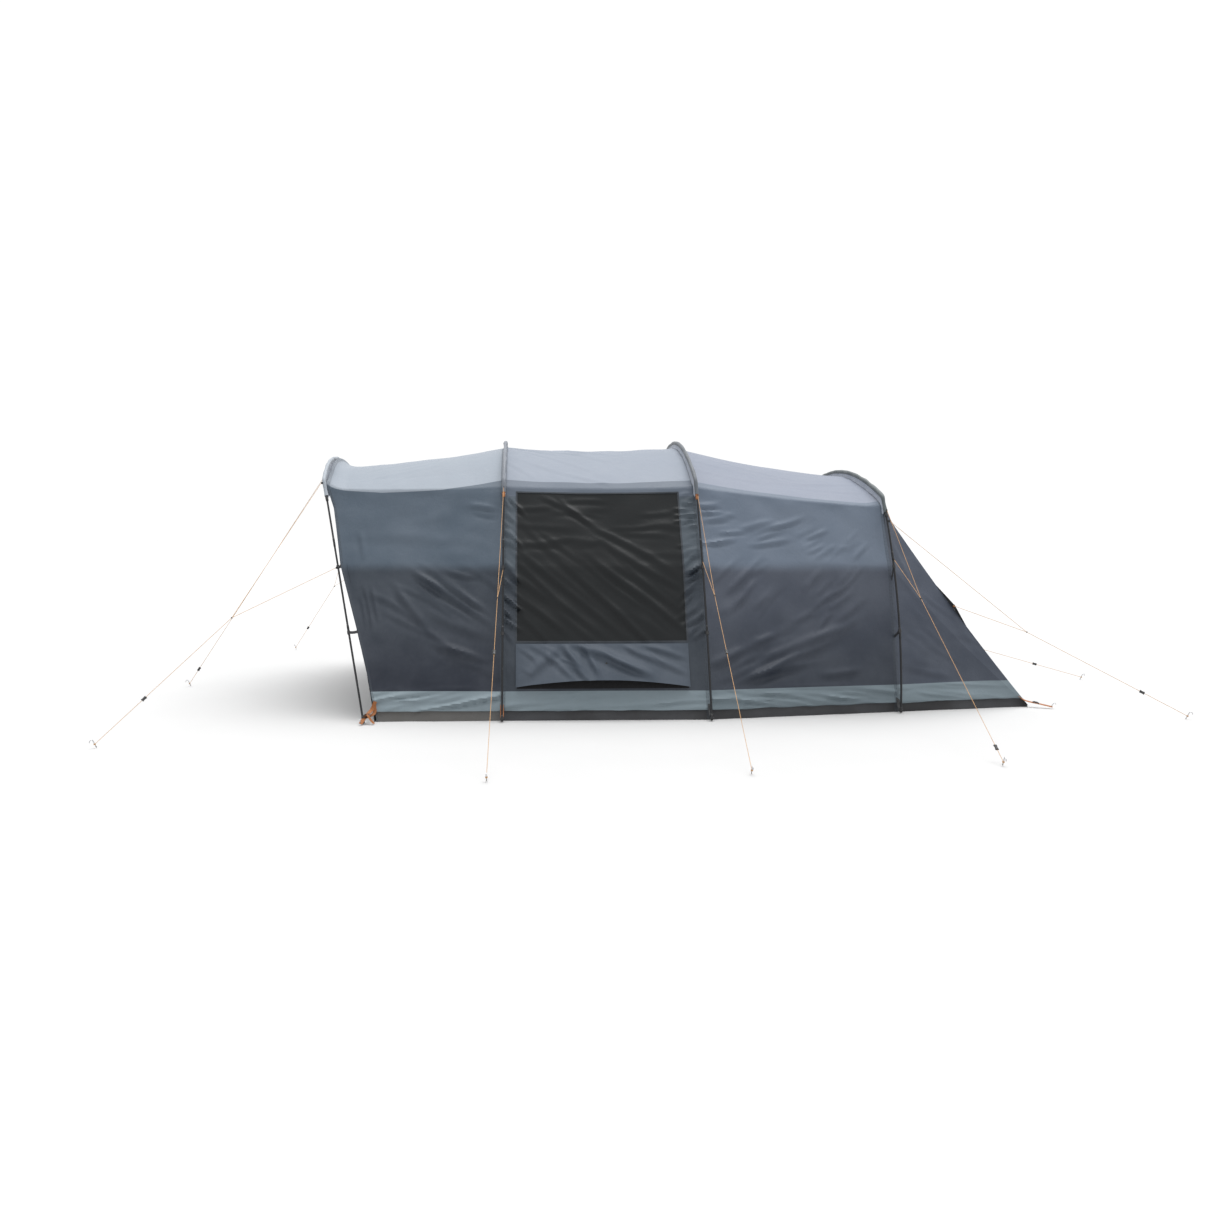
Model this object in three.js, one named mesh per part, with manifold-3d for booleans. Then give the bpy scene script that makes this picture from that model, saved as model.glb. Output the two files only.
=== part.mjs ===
// A tunnel tent for about five people: four black pole hoops stand outside a blue-grey flysheet,
// the front hoop leans forward, the rear slopes down to the ground, and twelve guy lines hold it up.
// Millimetres, +Z up. +X runs from the front to the rear, -Y is the side with the first window.

import * as THREE from 'three';
import Module from 'manifold-3d';
import { mergeVertices } from 'three/addons/utils/BufferGeometryUtils.js';

const wasm = await Module();
wasm.setup();

// Driving dimensions. An x is measured from the foot of the second hoop; BODY_CENTRE_X moves the
// origin to the middle of the body. Heights of the front hoop run along its leaning plane.
const BODY_CENTRE_X = 1194.9;
const FRONT_LEAN = 0.256;
const POLE_RADIUS = 7;
const SLEEVE_DEPTH = 36;
const SLEEVE_HALF_WIDTH = 15;
const FABRIC = 2.5;
const FILM = 1.5;
const SEAM = 1.2;
const CORD_RADIUS = 1.5;
const PEG_RADIUS = 3;
const PEG_HOOK_HEIGHT = 24;
const RUNNER_LENGTH = 30;

// Each hoop stands on feet 2 x halfWidth apart, bends at the shoulders [y, z] and peaks at top.
const POLES = {
  front: { x: -915, lean: FRONT_LEAN, halfWidth: 1518, shoulder: [814, 1711], top: 1930 },
  second: { x: 0, lean: 0, halfWidth: 1493, shoulder: [993, 1646], top: 2000, bulge: 100 },
  third: { x: 1411, lean: 0, halfWidth: 1493, shoulder: [993, 1646], top: 2000, bulge: 100 },
  rear: { x: 2790, lean: 0, halfWidth: 1264, shoulder: [1024, 1524], top: 1762, bulge: 220 },
};

// The flysheet hangs a hand's width inside the hoops, and ends in a low tail behind the rear hoop.
// Its walls run straight up to a knee, a share of the way up the leg, where a clip pulls them out.
const FLY = {
  front: { x: -880, lean: FRONT_LEAN, halfWidth: 1463, shoulder: [776, 1659], top: 1888, knee: [30, 0.645] },
  second: { x: 0, lean: 0, halfWidth: 1448, shoulder: [955, 1598], top: 1958, knee: [60, 0.645] },
  third: { x: 1411, lean: 0, halfWidth: 1448, shoulder: [955, 1598], top: 1958, knee: [60, 0.645] },
  rear: { x: 2790, lean: 0, halfWidth: 1224, shoulder: [992, 1450], top: 1722, knee: [85, 0.7] },
  tail: { x: 3810, lean: 0, halfWidth: 1062, shoulder: [1058, 10], top: 10 },
};

// The bedroom hangs clear of the flysheet.
const INNER = {
  front: { x: 1456, lean: 0, halfWidth: 1300, shoulder: [870, 1450], top: 1780, bulge: 60 },
  knee: { x: 2760, lean: 0, halfWidth: 1100, shoulder: [890, 1300], top: 1560, bulge: 80 },
  tail: { x: 3600, lean: 0, halfWidth: 960, shoulder: [940, 110], top: 120, bulge: 0 },
};

// Windows and vent flaps, as shares of the living bay's length and of its wall's height.
const WINDOW = { start: 0.07, end: 0.905, bottom: 0.325, top: 0.975 };
const FLAP = { bottom: 0.165, top: 0.318, proudTop: 5, proudBottom: 68 };

// The front wall hangs behind the front hoop, and its door fills a leaning D-shaped cut-out.
const FRONT_WALL = { setBack: 25, inset: 14, thickness: 2.5 };
const FRONT_DOOR = { hingeY: -120, footY: -960, headY: -730, sill: 90, head: 1440, corner: 130 };
const INNER_DOOR = { hingeY: 400, footY: -400, headY: -400, sill: 120, head: 1400, corner: 180 };
const INNER_WALL_X = 1451;
const GROUNDSHEET = { start: -800, end: 1440, halfWidth: 1395, thickness: 3 };

const COLOURS = {
  pole: { color: 0x17191c, roughness: 0.45, metalness: 0.6 },
  fly: { color: 0x66727f, roughness: 0.8, metalness: 0 },
  sleeve: { color: 0x7d8893, roughness: 0.8, metalness: 0 },
  film: { color: 0x343638, roughness: 0.35, metalness: 0 },
  inner: { color: 0xb9bcbb, roughness: 0.9, metalness: 0 },
  groundsheet: { color: 0x4a4e52, roughness: 0.7, metalness: 0 },
  cord: { color: 0xc9a57c, roughness: 0.9, metalness: 0 },
  plastic: { color: 0x1b1b1c, roughness: 0.5, metalness: 0 },
  steel: { color: 0x9a9da0, roughness: 0.35, metalness: 0.9 },
};

const tent = new THREE.Group();
tent.position.x = -BODY_CENTRE_X;

function add(name, geometry, look) {
  const mesh = new THREE.Mesh(geometry, new THREE.MeshStandardMaterial(COLOURS[look]));
  mesh.name = name;
  tent.add(mesh);
  return mesh;
}

// A point [y, height] of an arch. v runs 0 to 1 up the near leg, to 2 over the roof, to 3 down.
function archPoint({ halfWidth, shoulder, top, bulge = 0, knee = [0, 0.5] }, v) {
  const [shoulderY, shoulderZ] = shoulder;
  if (v >= 1 && v <= 2) {
    const across = 2 * (v - 1) - 1;
    return [shoulderY * across, shoulderZ + (top - shoulderZ) * (1 - across ** 2)];
  }
  const up = v < 1 ? v : 3 - v;
  const kneeShare = Math.min(up / knee[1], (1 - up) / (1 - knee[1]));
  const y = halfWidth + (shoulderY - halfWidth) * up + bulge * 2 * up * (1 - up) + knee[0] * kneeShare;
  return [v < 1 ? -y : y, shoulderZ * up];
}

// The same point in space, with the arch's plane turned forward by its lean.
function placed(arch, v) {
  const [y, height] = archPoint(arch, v);
  return new THREE.Vector3(
    arch.x - Math.sin(arch.lean) * height,
    y,
    Math.cos(arch.lean) * height,
  );
}

// Evenly spaced values from first to last.
function steps(first, last, count) {
  return Array.from({ length: count + 1 }, (_, i) => first + ((last - first) * i) / count);
}

// ---- Hoops and sleeves ----------------------------------------------------------------------

// A curve that is sampled at its own control points, so a pole and its sleeve bend together.
class HoopCurve extends THREE.CatmullRomCurve3 {
  getUtoTmapping(u) {
    return u;
  }
}

const LEG_STOPS = [0.004, 0.2, 0.4, 0.6, 0.8, 0.9, 0.96];
const ROOF_STOPS = [1.02, 1.06, 1.12, ...steps(1.2, 1.8, 8), 1.88, 1.94, 1.98];
const HOOP_STOPS = [...LEG_STOPS, ...ROOF_STOPS, ...LEG_STOPS.map((v) => 3 - v).reverse()];

function hoopGeometry(arch, section, stops) {
  const points = stops.map((v) => new THREE.Vector3(0, ...archPoint(arch, v)));
  const extrudePath = new HoopCurve(points);
  return new THREE.ExtrudeGeometry(section, { steps: points.length - 1, extrudePath });
}

function polygon(radius, sides) {
  const corners = steps(0, 1, sides).slice(0, -1).map((share) => {
    const angle = 2 * Math.PI * share;
    return new THREE.Vector2(radius * Math.cos(angle), radius * Math.sin(angle));
  });
  return new THREE.Shape(corners);
}

// A fabric channel folded over the pole, open towards the flysheet that it is sewn to.
function sleeveSection() {
  const outer = SLEEVE_HALF_WIDTH;
  const inner = SLEEVE_HALF_WIDTH - 2;
  const corners = [
    [-outer, -SLEEVE_DEPTH], [-inner, -SLEEVE_DEPTH], [-inner, 6], [0, 16], [inner, 6],
    [inner, -SLEEVE_DEPTH], [outer, -SLEEVE_DEPTH], [outer, 7], [0, 18.5], [-outer, 7],
  ];
  return new THREE.Shape(corners.map(([x, y]) => new THREE.Vector2(x, y)));
}

const SLEEVE_STOPS = HOOP_STOPS.filter((v) => v >= 0.9 && v <= 2.1);
for (const [name, arch] of Object.entries(POLES)) {
  const pole = add(`${name}_hoop_pole`, hoopGeometry(arch, polygon(POLE_RADIUS, 8), HOOP_STOPS), 'pole');
  const sleeve = add(`${name}_pole_sleeve`, hoopGeometry(arch, sleeveSection(), SLEEVE_STOPS), 'sleeve');
  for (const part of [pole, sleeve]) {
    part.position.x = arch.x;
    part.rotation.y = -arch.lean;
  }
}

// ---- Fabric ---------------------------------------------------------------------------------

// A closed sheet of even thickness on both sides of a surface made of flat faces.
function sheet(faces, thickness) {
  const points = [];
  const numbers = new Map();
  const number = (p) => {
    const key = [p.x, p.y, p.z].map((value) => Math.round(value * 100)).join();
    if (!numbers.has(key)) {
      numbers.set(key, points.push(p) - 1);
    }
    return numbers.get(key);
  };
  const loops = faces.map((face) => [...new Set(face.map(number))]).filter((loop) => loop.length > 2);
  const triangles = loops.flatMap((loop) => loop.slice(2).map((last, i) => [loop[0], loop[i + 1], last]));

  const normals = points.map(() => new THREE.Vector3());
  for (const [a, b, c] of triangles) {
    const side = points[b].clone().sub(points[a]);
    const normal = side.cross(points[c].clone().sub(points[a]));
    [a, b, c].forEach((corner) => normals[corner].add(normal));
  }
  const layer = (way) => points.map((p, i) => {
    const moved = p.clone().addScaledVector(normals[i].clone().normalize(), (way * thickness) / 2);
    moved.z = p.z === 0 ? 0 : Math.max(moved.z, 0);
    return moved;
  });
  const positions = [...layer(1), ...layer(-1)].flatMap((p) => p.toArray());

  const under = points.length;
  const index = triangles.flatMap(([a, b, c]) => [a, b, c, under + a, under + c, under + b]);
  const edges = new Set(triangles.flatMap(([a, b, c]) => [`${a},${b}`, `${b},${c}`, `${c},${a}`]));
  for (const edge of edges) {
    const [a, b] = edge.split(',').map(Number);
    if (!edges.has(`${b},${a}`)) {
      index.push(a, under + a, b, b, under + a, under + b);
    }
  }
  const geometry = new THREE.BufferGeometry();
  geometry.setAttribute('position', new THREE.Float32BufferAttribute(positions, 3));
  geometry.setIndex(index);
  return geometry;
}

// The quads of surface(s, v) over the given stops, without those that isOpen leaves out.
function quads(surface, lengthStops, archStops, isOpen = () => false) {
  const faces = [];
  for (let i = 1; i < lengthStops.length; i += 1) {
    for (let j = 1; j < archStops.length; j += 1) {
      const [s0, s1, v0, v1] = [lengthStops[i - 1], lengthStops[i], archStops[j - 1], archStops[j]];
      if (!isOpen((s0 + s1) / 2, (v0 + v1) / 2)) {
        faces.push([surface(s0, v0), surface(s1, v0), surface(s1, v1), surface(s0, v1)]);
      }
    }
  }
  return faces;
}

// A bay between two arches. The cloth dips between them, by sag in the roof and less in the walls.
function bay(from, to, sag) {
  return (s, v) => {
    const point = placed(from, v).lerp(placed(to, v), s);
    const up = Math.min(v, 3 - v, 1);
    const dip = sag * 4 * s * (1 - s);
    point.z -= dip * up;
    point.y -= Math.sign(point.y) * 0.5 * dip * Math.sin(Math.PI * up);
    return point;
  };
}

function wholeArch(legStops, roofCount) {
  const farLeg = legStops.map((v) => 3 - v).reverse();
  return [...legStops, ...steps(1, 2, roofCount).slice(1, -1), ...farLeg];
}

// Stops along a bay that leave half a seam free at each of its hoops.
function bayStops(from, to, count) {
  const free = SEAM / (to.x - from.x);
  return steps(free, 1 - free, count);
}

const PLAIN_ARCH = wholeArch(steps(0, 1, 6), 12);
const frontBay = bay(FLY.front, FLY.second, 55);
const livingBay = bay(FLY.second, FLY.third, 30);
const bedroomBay = bay(FLY.third, FLY.rear, 35);
const rearEnd = bay(FLY.rear, FLY.tail, 75);

add('fly_front_bay', sheet(quads(frontBay, bayStops(FLY.front, FLY.second, 6), PLAIN_ARCH), FABRIC), 'fly');
add('fly_bedroom_bay', sheet(quads(bedroomBay, bayStops(FLY.third, FLY.rear, 6), PLAIN_ARCH), FABRIC), 'fly');
const tailArch = wholeArch(steps(0, 1, 3), 12);
add('fly_rear_end', sheet(quads(rearEnd, bayStops(FLY.rear, FLY.tail, 7), tailArch), FABRIC), 'fly');

// Window film fills the hole in each long wall of the living bay, a seam's width clear of it.
const isWindow = (s, v) => {
  const up = Math.min(v, 3 - v);
  return s > WINDOW.start && s < WINDOW.end && up > WINDOW.bottom && up < WINDOW.top;
};
const windowLegStops = [0, 0.16, ...steps(WINDOW.bottom, WINDOW.top, 4), 1];
const [bayStart, ...bayMiddle] = bayStops(FLY.second, FLY.third, 1);
const livingStops = [bayStart, ...steps(WINDOW.start, WINDOW.end, 5), ...bayMiddle];
const livingFaces = quads(livingBay, livingStops, wholeArch(windowLegStops, 12), isWindow);
add('fly_living_bay', sheet(livingFaces, FABRIC), 'fly');

const seamAlong = SEAM / (FLY.third.x - FLY.second.x);
const seamUp = SEAM / FLY.second.shoulder[1];
const filmStops = steps(WINDOW.start + seamAlong, WINDOW.end - seamAlong, 5);
const filmUp = steps(WINDOW.bottom + seamUp, WINDOW.top - seamUp, 4);
add('near_window', sheet(quads(livingBay, filmStops, filmUp), FILM), 'film');
add('far_window', sheet(quads(livingBay, filmStops, filmUp.map((v) => 3 - v).reverse()), FILM), 'film');

// A vent flap under each window hangs from its top edge and stands off the wall at its foot.
function flapFaces(side) {
  const surface = (s, up) => {
    const point = livingBay(s, side < 0 ? up : 3 - up);
    const down = (FLAP.top - up) / (FLAP.top - FLAP.bottom);
    point.y += side * (FLAP.proudTop + (FLAP.proudBottom - FLAP.proudTop) * down);
    return point;
  };
  const across = steps(WINDOW.start, WINDOW.end, 5);
  const stops = steps(FLAP.bottom, FLAP.top, 2);
  return quads(surface, across, side < 0 ? stops : stops.reverse());
}
add('near_vent_flap', sheet(flapFaces(-1), FILM), 'fly');
add('far_vent_flap', sheet(flapFaces(1), FILM), 'fly');

// ---- End walls and doors --------------------------------------------------------------------

// An arch's outline, brought in by inset, as a flat shape in y and height.
function archOutline(arch, inset, floor) {
  const points = wholeArch([0, 0.645, 1], 12).reverse().map((v) => archPoint(arch, v));
  const corners = points.map(([y, z]) => {
    const scale = (arch.halfWidth - inset) / arch.halfWidth;
    return new THREE.Vector2(y * scale, Math.max(floor, z * (1 - inset / arch.top)));
  });
  return new THREE.Shape(corners);
}

// A door's outline: straight hinge side, slanting far side, rounded corners away from the hinge.
function doorOutline({ hingeY, footY, headY, sill, head, corner }, gap) {
  const way = Math.sign(footY - hingeY);
  const hinge = hingeY + way * gap;
  const foot = footY - way * gap;
  const top = headY - way * gap;
  const slant = (top - foot) / (head - sill);
  const outline = new THREE.Shape();
  outline.moveTo(hinge, sill + gap);
  outline.lineTo(foot - way * corner, sill + gap);
  outline.quadraticCurveTo(foot, sill + gap, foot + slant * corner, sill + gap + corner);
  outline.lineTo(top - slant * corner, head - gap - corner);
  outline.quadraticCurveTo(top, head - gap, top - way * corner, head - gap);
  outline.lineTo(hinge, head - gap);
  outline.closePath();
  return outline;
}

// A flat panel standing across the tent: its shape's x is the tent's y, and it is thick along x.
function panel(name, shape, look) {
  const geometry = new THREE.ExtrudeGeometry(shape, {
    depth: FRONT_WALL.thickness,
    bevelEnabled: false,
    curveSegments: 5,
  });
  const across = new THREE.Matrix4().makeBasis(
    new THREE.Vector3(0, 1, 0),
    new THREE.Vector3(0, 0, 1),
    new THREE.Vector3(1, 0, 0),
  );
  return add(name, geometry.applyMatrix4(across), look);
}

const frontWallShape = archOutline(FLY.front, FRONT_WALL.inset, 0);
frontWallShape.holes.push(doorOutline(FRONT_DOOR, 0));
const frontWall = panel('front_wall', frontWallShape, 'fly');
const frontDoor = panel('front_door', doorOutline(FRONT_DOOR, SEAM), 'fly');
for (const part of [frontWall, frontDoor]) {
  part.position.x = FLY.front.x + FRONT_WALL.setBack;
  part.rotation.y = -FRONT_LEAN;
}

const innerWallShape = archOutline(INNER.front, 0, GROUNDSHEET.thickness);
innerWallShape.holes.push(doorOutline(INNER_DOOR, 0));
panel('inner_front_wall', innerWallShape, 'inner').position.x = INNER_WALL_X;
panel('inner_door', doorOutline(INNER_DOOR, SEAM), 'inner').position.x = INNER_WALL_X;

// ---- Bedroom and groundsheet ----------------------------------------------------------------

// Walls, roof, floor and low rear face in one skin, open at the front. Each floor point lies
// under the roof point with the same v, so the two meet along the feet.
function bedroomFaces() {
  const floorHeight = FABRIC / 2;
  const lengths = [...steps(0, 1, 3), ...steps(1, 2, 3).slice(1)];
  const roof = (s, v) => {
    const [from, to] = s < 1 ? [INNER.front, INNER.knee] : [INNER.knee, INNER.tail];
    const point = bay(from, to, 20)(s < 1 ? s : s - 1, v);
    point.z = Math.max(point.z, floorHeight);
    return point;
  };
  const floor = (s, v) => roof(s, v).setZ(floorHeight);
  const arch = wholeArch(steps(0, 1, 4), 8);
  const rear = arch.slice(1).map((v, i) => [
    roof(2, arch[i]), floor(2, arch[i]), floor(2, v), roof(2, v),
  ]);
  return [...quads(roof, lengths, arch), ...quads(floor, lengths, [...arch].reverse()), ...rear];
}
add('inner_tent', sheet(bedroomFaces(), FABRIC), 'inner');

const groundsheet = new THREE.BoxGeometry(
  GROUNDSHEET.end - GROUNDSHEET.start,
  2 * GROUNDSHEET.halfWidth,
  GROUNDSHEET.thickness,
);
add('groundsheet', groundsheet, 'groundsheet').position.set(
  (GROUNDSHEET.end + GROUNDSHEET.start) / 2,
  0,
  GROUNDSHEET.thickness / 2,
);

// ---- Zip sliders ----------------------------------------------------------------------------

// A slider parks at the foot of each door's zip, on the wall's side of the seam.
function zipSlider(name, door, wallX, lean) {
  const slant = Math.atan2(door.headY - door.footY, door.head - door.sill);
  const width = 14;
  const frame = new THREE.Group();
  frame.position.x = wallX;
  frame.rotation.y = -lean;
  const geometry = new THREE.BoxGeometry(5, width, 34);
  const mesh = new THREE.Mesh(geometry, new THREE.MeshStandardMaterial(COLOURS.steel));
  mesh.name = name;
  mesh.rotation.x = -slant;
  mesh.position.set(-4, door.footY - width, door.sill + door.corner);
  frame.add(mesh);
  tent.add(frame);
}
zipSlider('front_zip_slider', FRONT_DOOR, FLY.front.x + FRONT_WALL.setBack, FRONT_LEAN);
zipSlider('inner_zip_slider', INNER_DOOR, INNER_WALL_X, 0);

// ---- Guy lines, runners and pegs ------------------------------------------------------------

// Each line leaves the tent at upper, and where it forks at lower too. The fork lies on the way
// from the peg to a point between them (between, from lower), at the share fork of that way. The
// runner sits at the share runner of the tail, counted from the peg.
const SIDE_LINES = [
  { name: 'second', upper: [0, 1044, 1594], lower: [0, 1252, 1006], peg: [-53, 2917], fork: 0.559,
    between: 0.872, runner: 0.65 },
  { name: 'third', upper: [1411, 1069, 1534], lower: [1411, 1236, 1058], peg: [1350, 2820], fork: 0.653,
    between: 0.513, runner: 0.63 },
  { name: 'rear_side', upper: [2790, 1096, 1424], lower: [2790, 1207, 1070], peg: [2774, 2685],
    fork: 0.679, between: 0.403, runner: 0.07 },
  { name: 'rear_corner', upper: [2803, 1112, 1345], lower: [3280, 1052, 730], peg: [4652, 1522],
    fork: 0.629, between: 0.232, runner: 0.27 },
];
const FRONT_LINE = { name: 'front', upper: [-1359, 851, 1629], lower: [-1193, 1101, 1013],
  fork: 0.534, between: 0.459, runner: 0.33 };
const mirrored = ([x, y, z]) => [x, -y, z];
const LINES = [
  { ...FRONT_LINE, name: 'front_near', upper: mirrored(FRONT_LINE.upper),
    lower: mirrored(FRONT_LINE.lower), peg: [-2400, -2136] },
  { ...FRONT_LINE, name: 'front_far', peg: [-2235, 2145] },
  { name: 'front_centre', upper: [-1422, 0, 1864], peg: [-2573, -47], runner: 0.06 },
  ...SIDE_LINES.flatMap((line) => [
    { ...line, name: `${line.name}_near`, upper: mirrored(line.upper), lower: mirrored(line.lower),
      peg: [line.peg[0], -line.peg[1]] },
    { ...line, name: `${line.name}_far` },
  ]),
  { name: 'rear_centre', upper: [3578, 0, 392], peg: [4888, 66], runner: 0.31 },
];

function toSolid(geometry) {
  const bare = geometry.clone().deleteAttribute('normal').deleteAttribute('uv');
  const merged = mergeVertices(bare, 1e-4);
  return new wasm.Manifold(new wasm.Mesh({
    numProp: 3,
    vertProperties: new Float32Array(merged.getAttribute('position').array),
    triVerts: new Uint32Array(merged.getIndex().array),
  }));
}

function toGeometry(solid) {
  const { vertProperties, triVerts } = solid.getMesh();
  const geometry = new THREE.BufferGeometry();
  geometry.setAttribute('position', new THREE.Float32BufferAttribute(vertProperties, 3));
  geometry.setIndex(new THREE.Uint32BufferAttribute(triVerts, 1));
  return geometry;
}

function tube(from, to) {
  const extrudePath = new THREE.LineCurve3(from, to);
  return new THREE.ExtrudeGeometry(polygon(CORD_RADIUS, 8), { steps: 3, extrudePath });
}

// Where the line's parts lie: its start and fork, and its end just short of the peg's shank.
function route({ upper, lower, peg, fork, between }) {
  const start = new THREE.Vector3(...upper);
  const hook = new THREE.Vector3(...peg, PEG_HOOK_HEIGHT);
  const branch = lower && new THREE.Vector3(...lower);
  const knot = branch ? hook.clone().lerp(branch.clone().lerp(start, between), fork) : start;
  const end = hook.clone().addScaledVector(knot.clone().sub(hook).normalize(), 7);
  return { start, branch, knot, end, hook };
}

function lineGeometry({ start, branch, knot, end }) {
  if (!branch) {
    return tube(start, end);
  }
  const ring = new THREE.SphereGeometry(4, 8, 6).translate(knot.x, knot.y, knot.z);
  const stretches = [tube(branch, knot), tube(knot, end), ring];
  return toGeometry(stretches.reduce((solid, piece) => solid.add(toSolid(piece)), toSolid(tube(start, knot))));
}

// A flat slider with one bore, threaded on the tail of its line.
function runnerGeometry() {
  const body = new THREE.Shape([[-11, -4], [-8, -6], [8, -6], [11, -4], [11, 4], [8, 6], [-8, 6], [-11, 4]]
    .map(([x, y]) => new THREE.Vector2(x, y)));
  body.holes.push(polygon(CORD_RADIUS + 1, 8));
  return new THREE.ExtrudeGeometry(body, { depth: RUNNER_LENGTH, bevelEnabled: false })
    .translate(0, 0, -RUNNER_LENGTH / 2);
}

// The part of a wire peg that stands out of the ground: it leans away and hooks over at the top.
function pegGeometry() {
  const profile = [[-12, 4], [0, PEG_HOOK_HEIGHT], [11, 45], [20, 52], [29, 46], [31, 35]];
  const extrudePath = new THREE.CatmullRomCurve3(profile.map(([x, z]) => new THREE.Vector3(x, 0, z)));
  return new THREE.ExtrudeGeometry(polygon(PEG_RADIUS, 6), { steps: 9, extrudePath });
}

for (const line of LINES) {
  const path = route(line);
  const pull = path.knot.clone().sub(path.end);
  add(`guy_line_${line.name}`, lineGeometry(path), 'cord');

  const runner = add(`runner_${line.name}`, runnerGeometry(), 'plastic');
  runner.position.copy(path.end.clone().lerp(path.knot, line.runner));
  runner.quaternion.setFromUnitVectors(new THREE.Vector3(0, 0, 1), pull.clone().normalize());

  const peg = add(`peg_${line.name}`, pegGeometry(), 'steel');
  peg.position.set(path.hook.x, path.hook.y, 0);
  peg.rotation.z = Math.atan2(-pull.y, -pull.x);
}

export default new THREE.Group().add(tent);
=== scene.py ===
import math

import bmesh
import bpy
import numpy as np
from mathutils import Matrix, Vector


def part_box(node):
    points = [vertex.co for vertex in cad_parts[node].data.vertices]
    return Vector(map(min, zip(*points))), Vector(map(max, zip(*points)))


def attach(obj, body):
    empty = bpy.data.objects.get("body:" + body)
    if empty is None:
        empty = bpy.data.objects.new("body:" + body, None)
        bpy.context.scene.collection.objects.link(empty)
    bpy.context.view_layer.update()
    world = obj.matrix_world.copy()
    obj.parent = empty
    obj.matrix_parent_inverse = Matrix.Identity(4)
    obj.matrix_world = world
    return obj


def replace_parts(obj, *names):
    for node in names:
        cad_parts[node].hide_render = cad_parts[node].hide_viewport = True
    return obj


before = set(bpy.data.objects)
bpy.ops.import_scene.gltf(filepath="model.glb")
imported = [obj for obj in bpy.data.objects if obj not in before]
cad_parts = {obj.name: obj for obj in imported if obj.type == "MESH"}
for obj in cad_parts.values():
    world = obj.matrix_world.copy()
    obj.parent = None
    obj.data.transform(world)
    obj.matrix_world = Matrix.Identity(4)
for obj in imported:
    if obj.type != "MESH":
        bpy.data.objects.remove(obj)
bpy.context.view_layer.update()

# ---- Camera -----------------------------------------------------------------------------------
# The view stands eight metres off the near side at chest height and looks square at the long
# wall. Upright edges stay upright, so the camera hardly tilts, and its shift does the framing.
CENTRE_X = 1.1949  # every x below is counted from the second hoop; this is the origin's place


def set_out(name, data):
    """A new object in the scene, holding this data."""
    piece = bpy.data.objects.new(name, data)
    bpy.context.scene.collection.objects.link(piece)
    return piece


camera_data = bpy.data.cameras.new("view_camera")
camera_data.sensor_width = 36.0
camera_data.lens = 27.65
camera_data.shift_x = 0.0509
camera_data.shift_y = -0.1161
camera = set_out("view_camera", camera_data)
YAW, TILT_UP = 0.0273, 0.0601
ahead = Vector((math.sin(YAW) * math.cos(TILT_UP), math.cos(YAW) * math.cos(TILT_UP), math.sin(TILT_UP)))
standing = Matrix.Translation((0.1164 - CENTRE_X, -7.8228, 1.3381))
camera.matrix_world = standing @ ahead.to_track_quat("-Z", "Y").to_matrix().to_4x4()
bpy.context.scene.camera = camera


# ---- Guy lines --------------------------------------------------------------------------------
# Twelve thin braided polyester lines pull the hoops and the rear corners out to the pegs. Most
# fork, and the second branch ties in at a small ring. They are taut, so they run straight.
CORD_DIAMETER = 0.003
HOOK_HEIGHT = 0.024

SIDE_LINES = [
    dict(name="second", upper=(0, 1.044, 1.594), lower=(0, 1.252, 1.006), peg=(-0.053, 2.917),
         fork=0.559, between=0.872, runner=0.65),
    dict(name="third", upper=(1.411, 1.069, 1.534), lower=(1.411, 1.236, 1.058), peg=(1.35, 2.82),
         fork=0.653, between=0.513, runner=0.63),
    dict(name="rear_side", upper=(2.79, 1.096, 1.424), lower=(2.79, 1.207, 1.07), peg=(2.774, 2.685),
         fork=0.679, between=0.403, runner=0.07),
    dict(name="rear_corner", upper=(2.803, 1.112, 1.345), lower=(3.28, 1.052, 0.73), peg=(4.652, 1.522),
         fork=0.629, between=0.232, runner=0.27),
]
FRONT_LINE = dict(upper=(-1.359, 0.851, 1.629), lower=(-1.193, 1.101, 1.013), fork=0.534,
                  between=0.459, runner=0.33)


def mirrored(point):
    return (point[0], -point[1], *point[2:])


def mirrored_line(line, **changes):
    return {**line, "upper": mirrored(line["upper"]), "lower": mirrored(line["lower"]), **changes}


LINES = [
    mirrored_line(FRONT_LINE, name="front_near", peg=(-2.4, -2.136)),
    dict(FRONT_LINE, name="front_far", peg=(-2.235, 2.145)),
    dict(name="front_centre", upper=(-1.422, 0, 1.864), peg=(-2.573, -0.047), runner=0.06),
    dict(name="rear_centre", upper=(3.578, 0, 0.392), peg=(4.888, 0.066), runner=0.31),
]
for side_line in SIDE_LINES:
    LINES.append(mirrored_line(side_line, name=side_line["name"] + "_near", peg=mirrored(side_line["peg"])))
    LINES.append(dict(side_line, name=side_line["name"] + "_far"))


def place(point):
    """A point counted from the second hoop, in the part's own frame."""
    return Vector((point[0] - CENTRE_X, point[1], point[2]))


for line in LINES:
    start, hook = place(line["upper"]), place((*line["peg"], HOOK_HEIGHT))
    branch = place(line["lower"]) if "lower" in line else None
    knot = hook.lerp(branch.lerp(start, line["between"]), line["fork"]) if branch else start
    line["end"] = hook + (knot - hook).normalized() * 0.007
    line.update(start=start, hook=hook, branch=branch, knot=knot, pull=(knot - line["end"]).normalized())


def curve_piece(name, points, radius):
    data = bpy.data.curves.new(name, "CURVE")
    data.dimensions = "3D"
    data.bevel_depth = radius
    data.bevel_resolution = 2
    data.use_fill_caps = True
    spline = data.splines.new("POLY")
    spline.points.add(len(points) - 1)
    for spline_point, point in zip(spline.points, points):
        spline_point.co = (*point, 1)
    return set_out(name, data)


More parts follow.
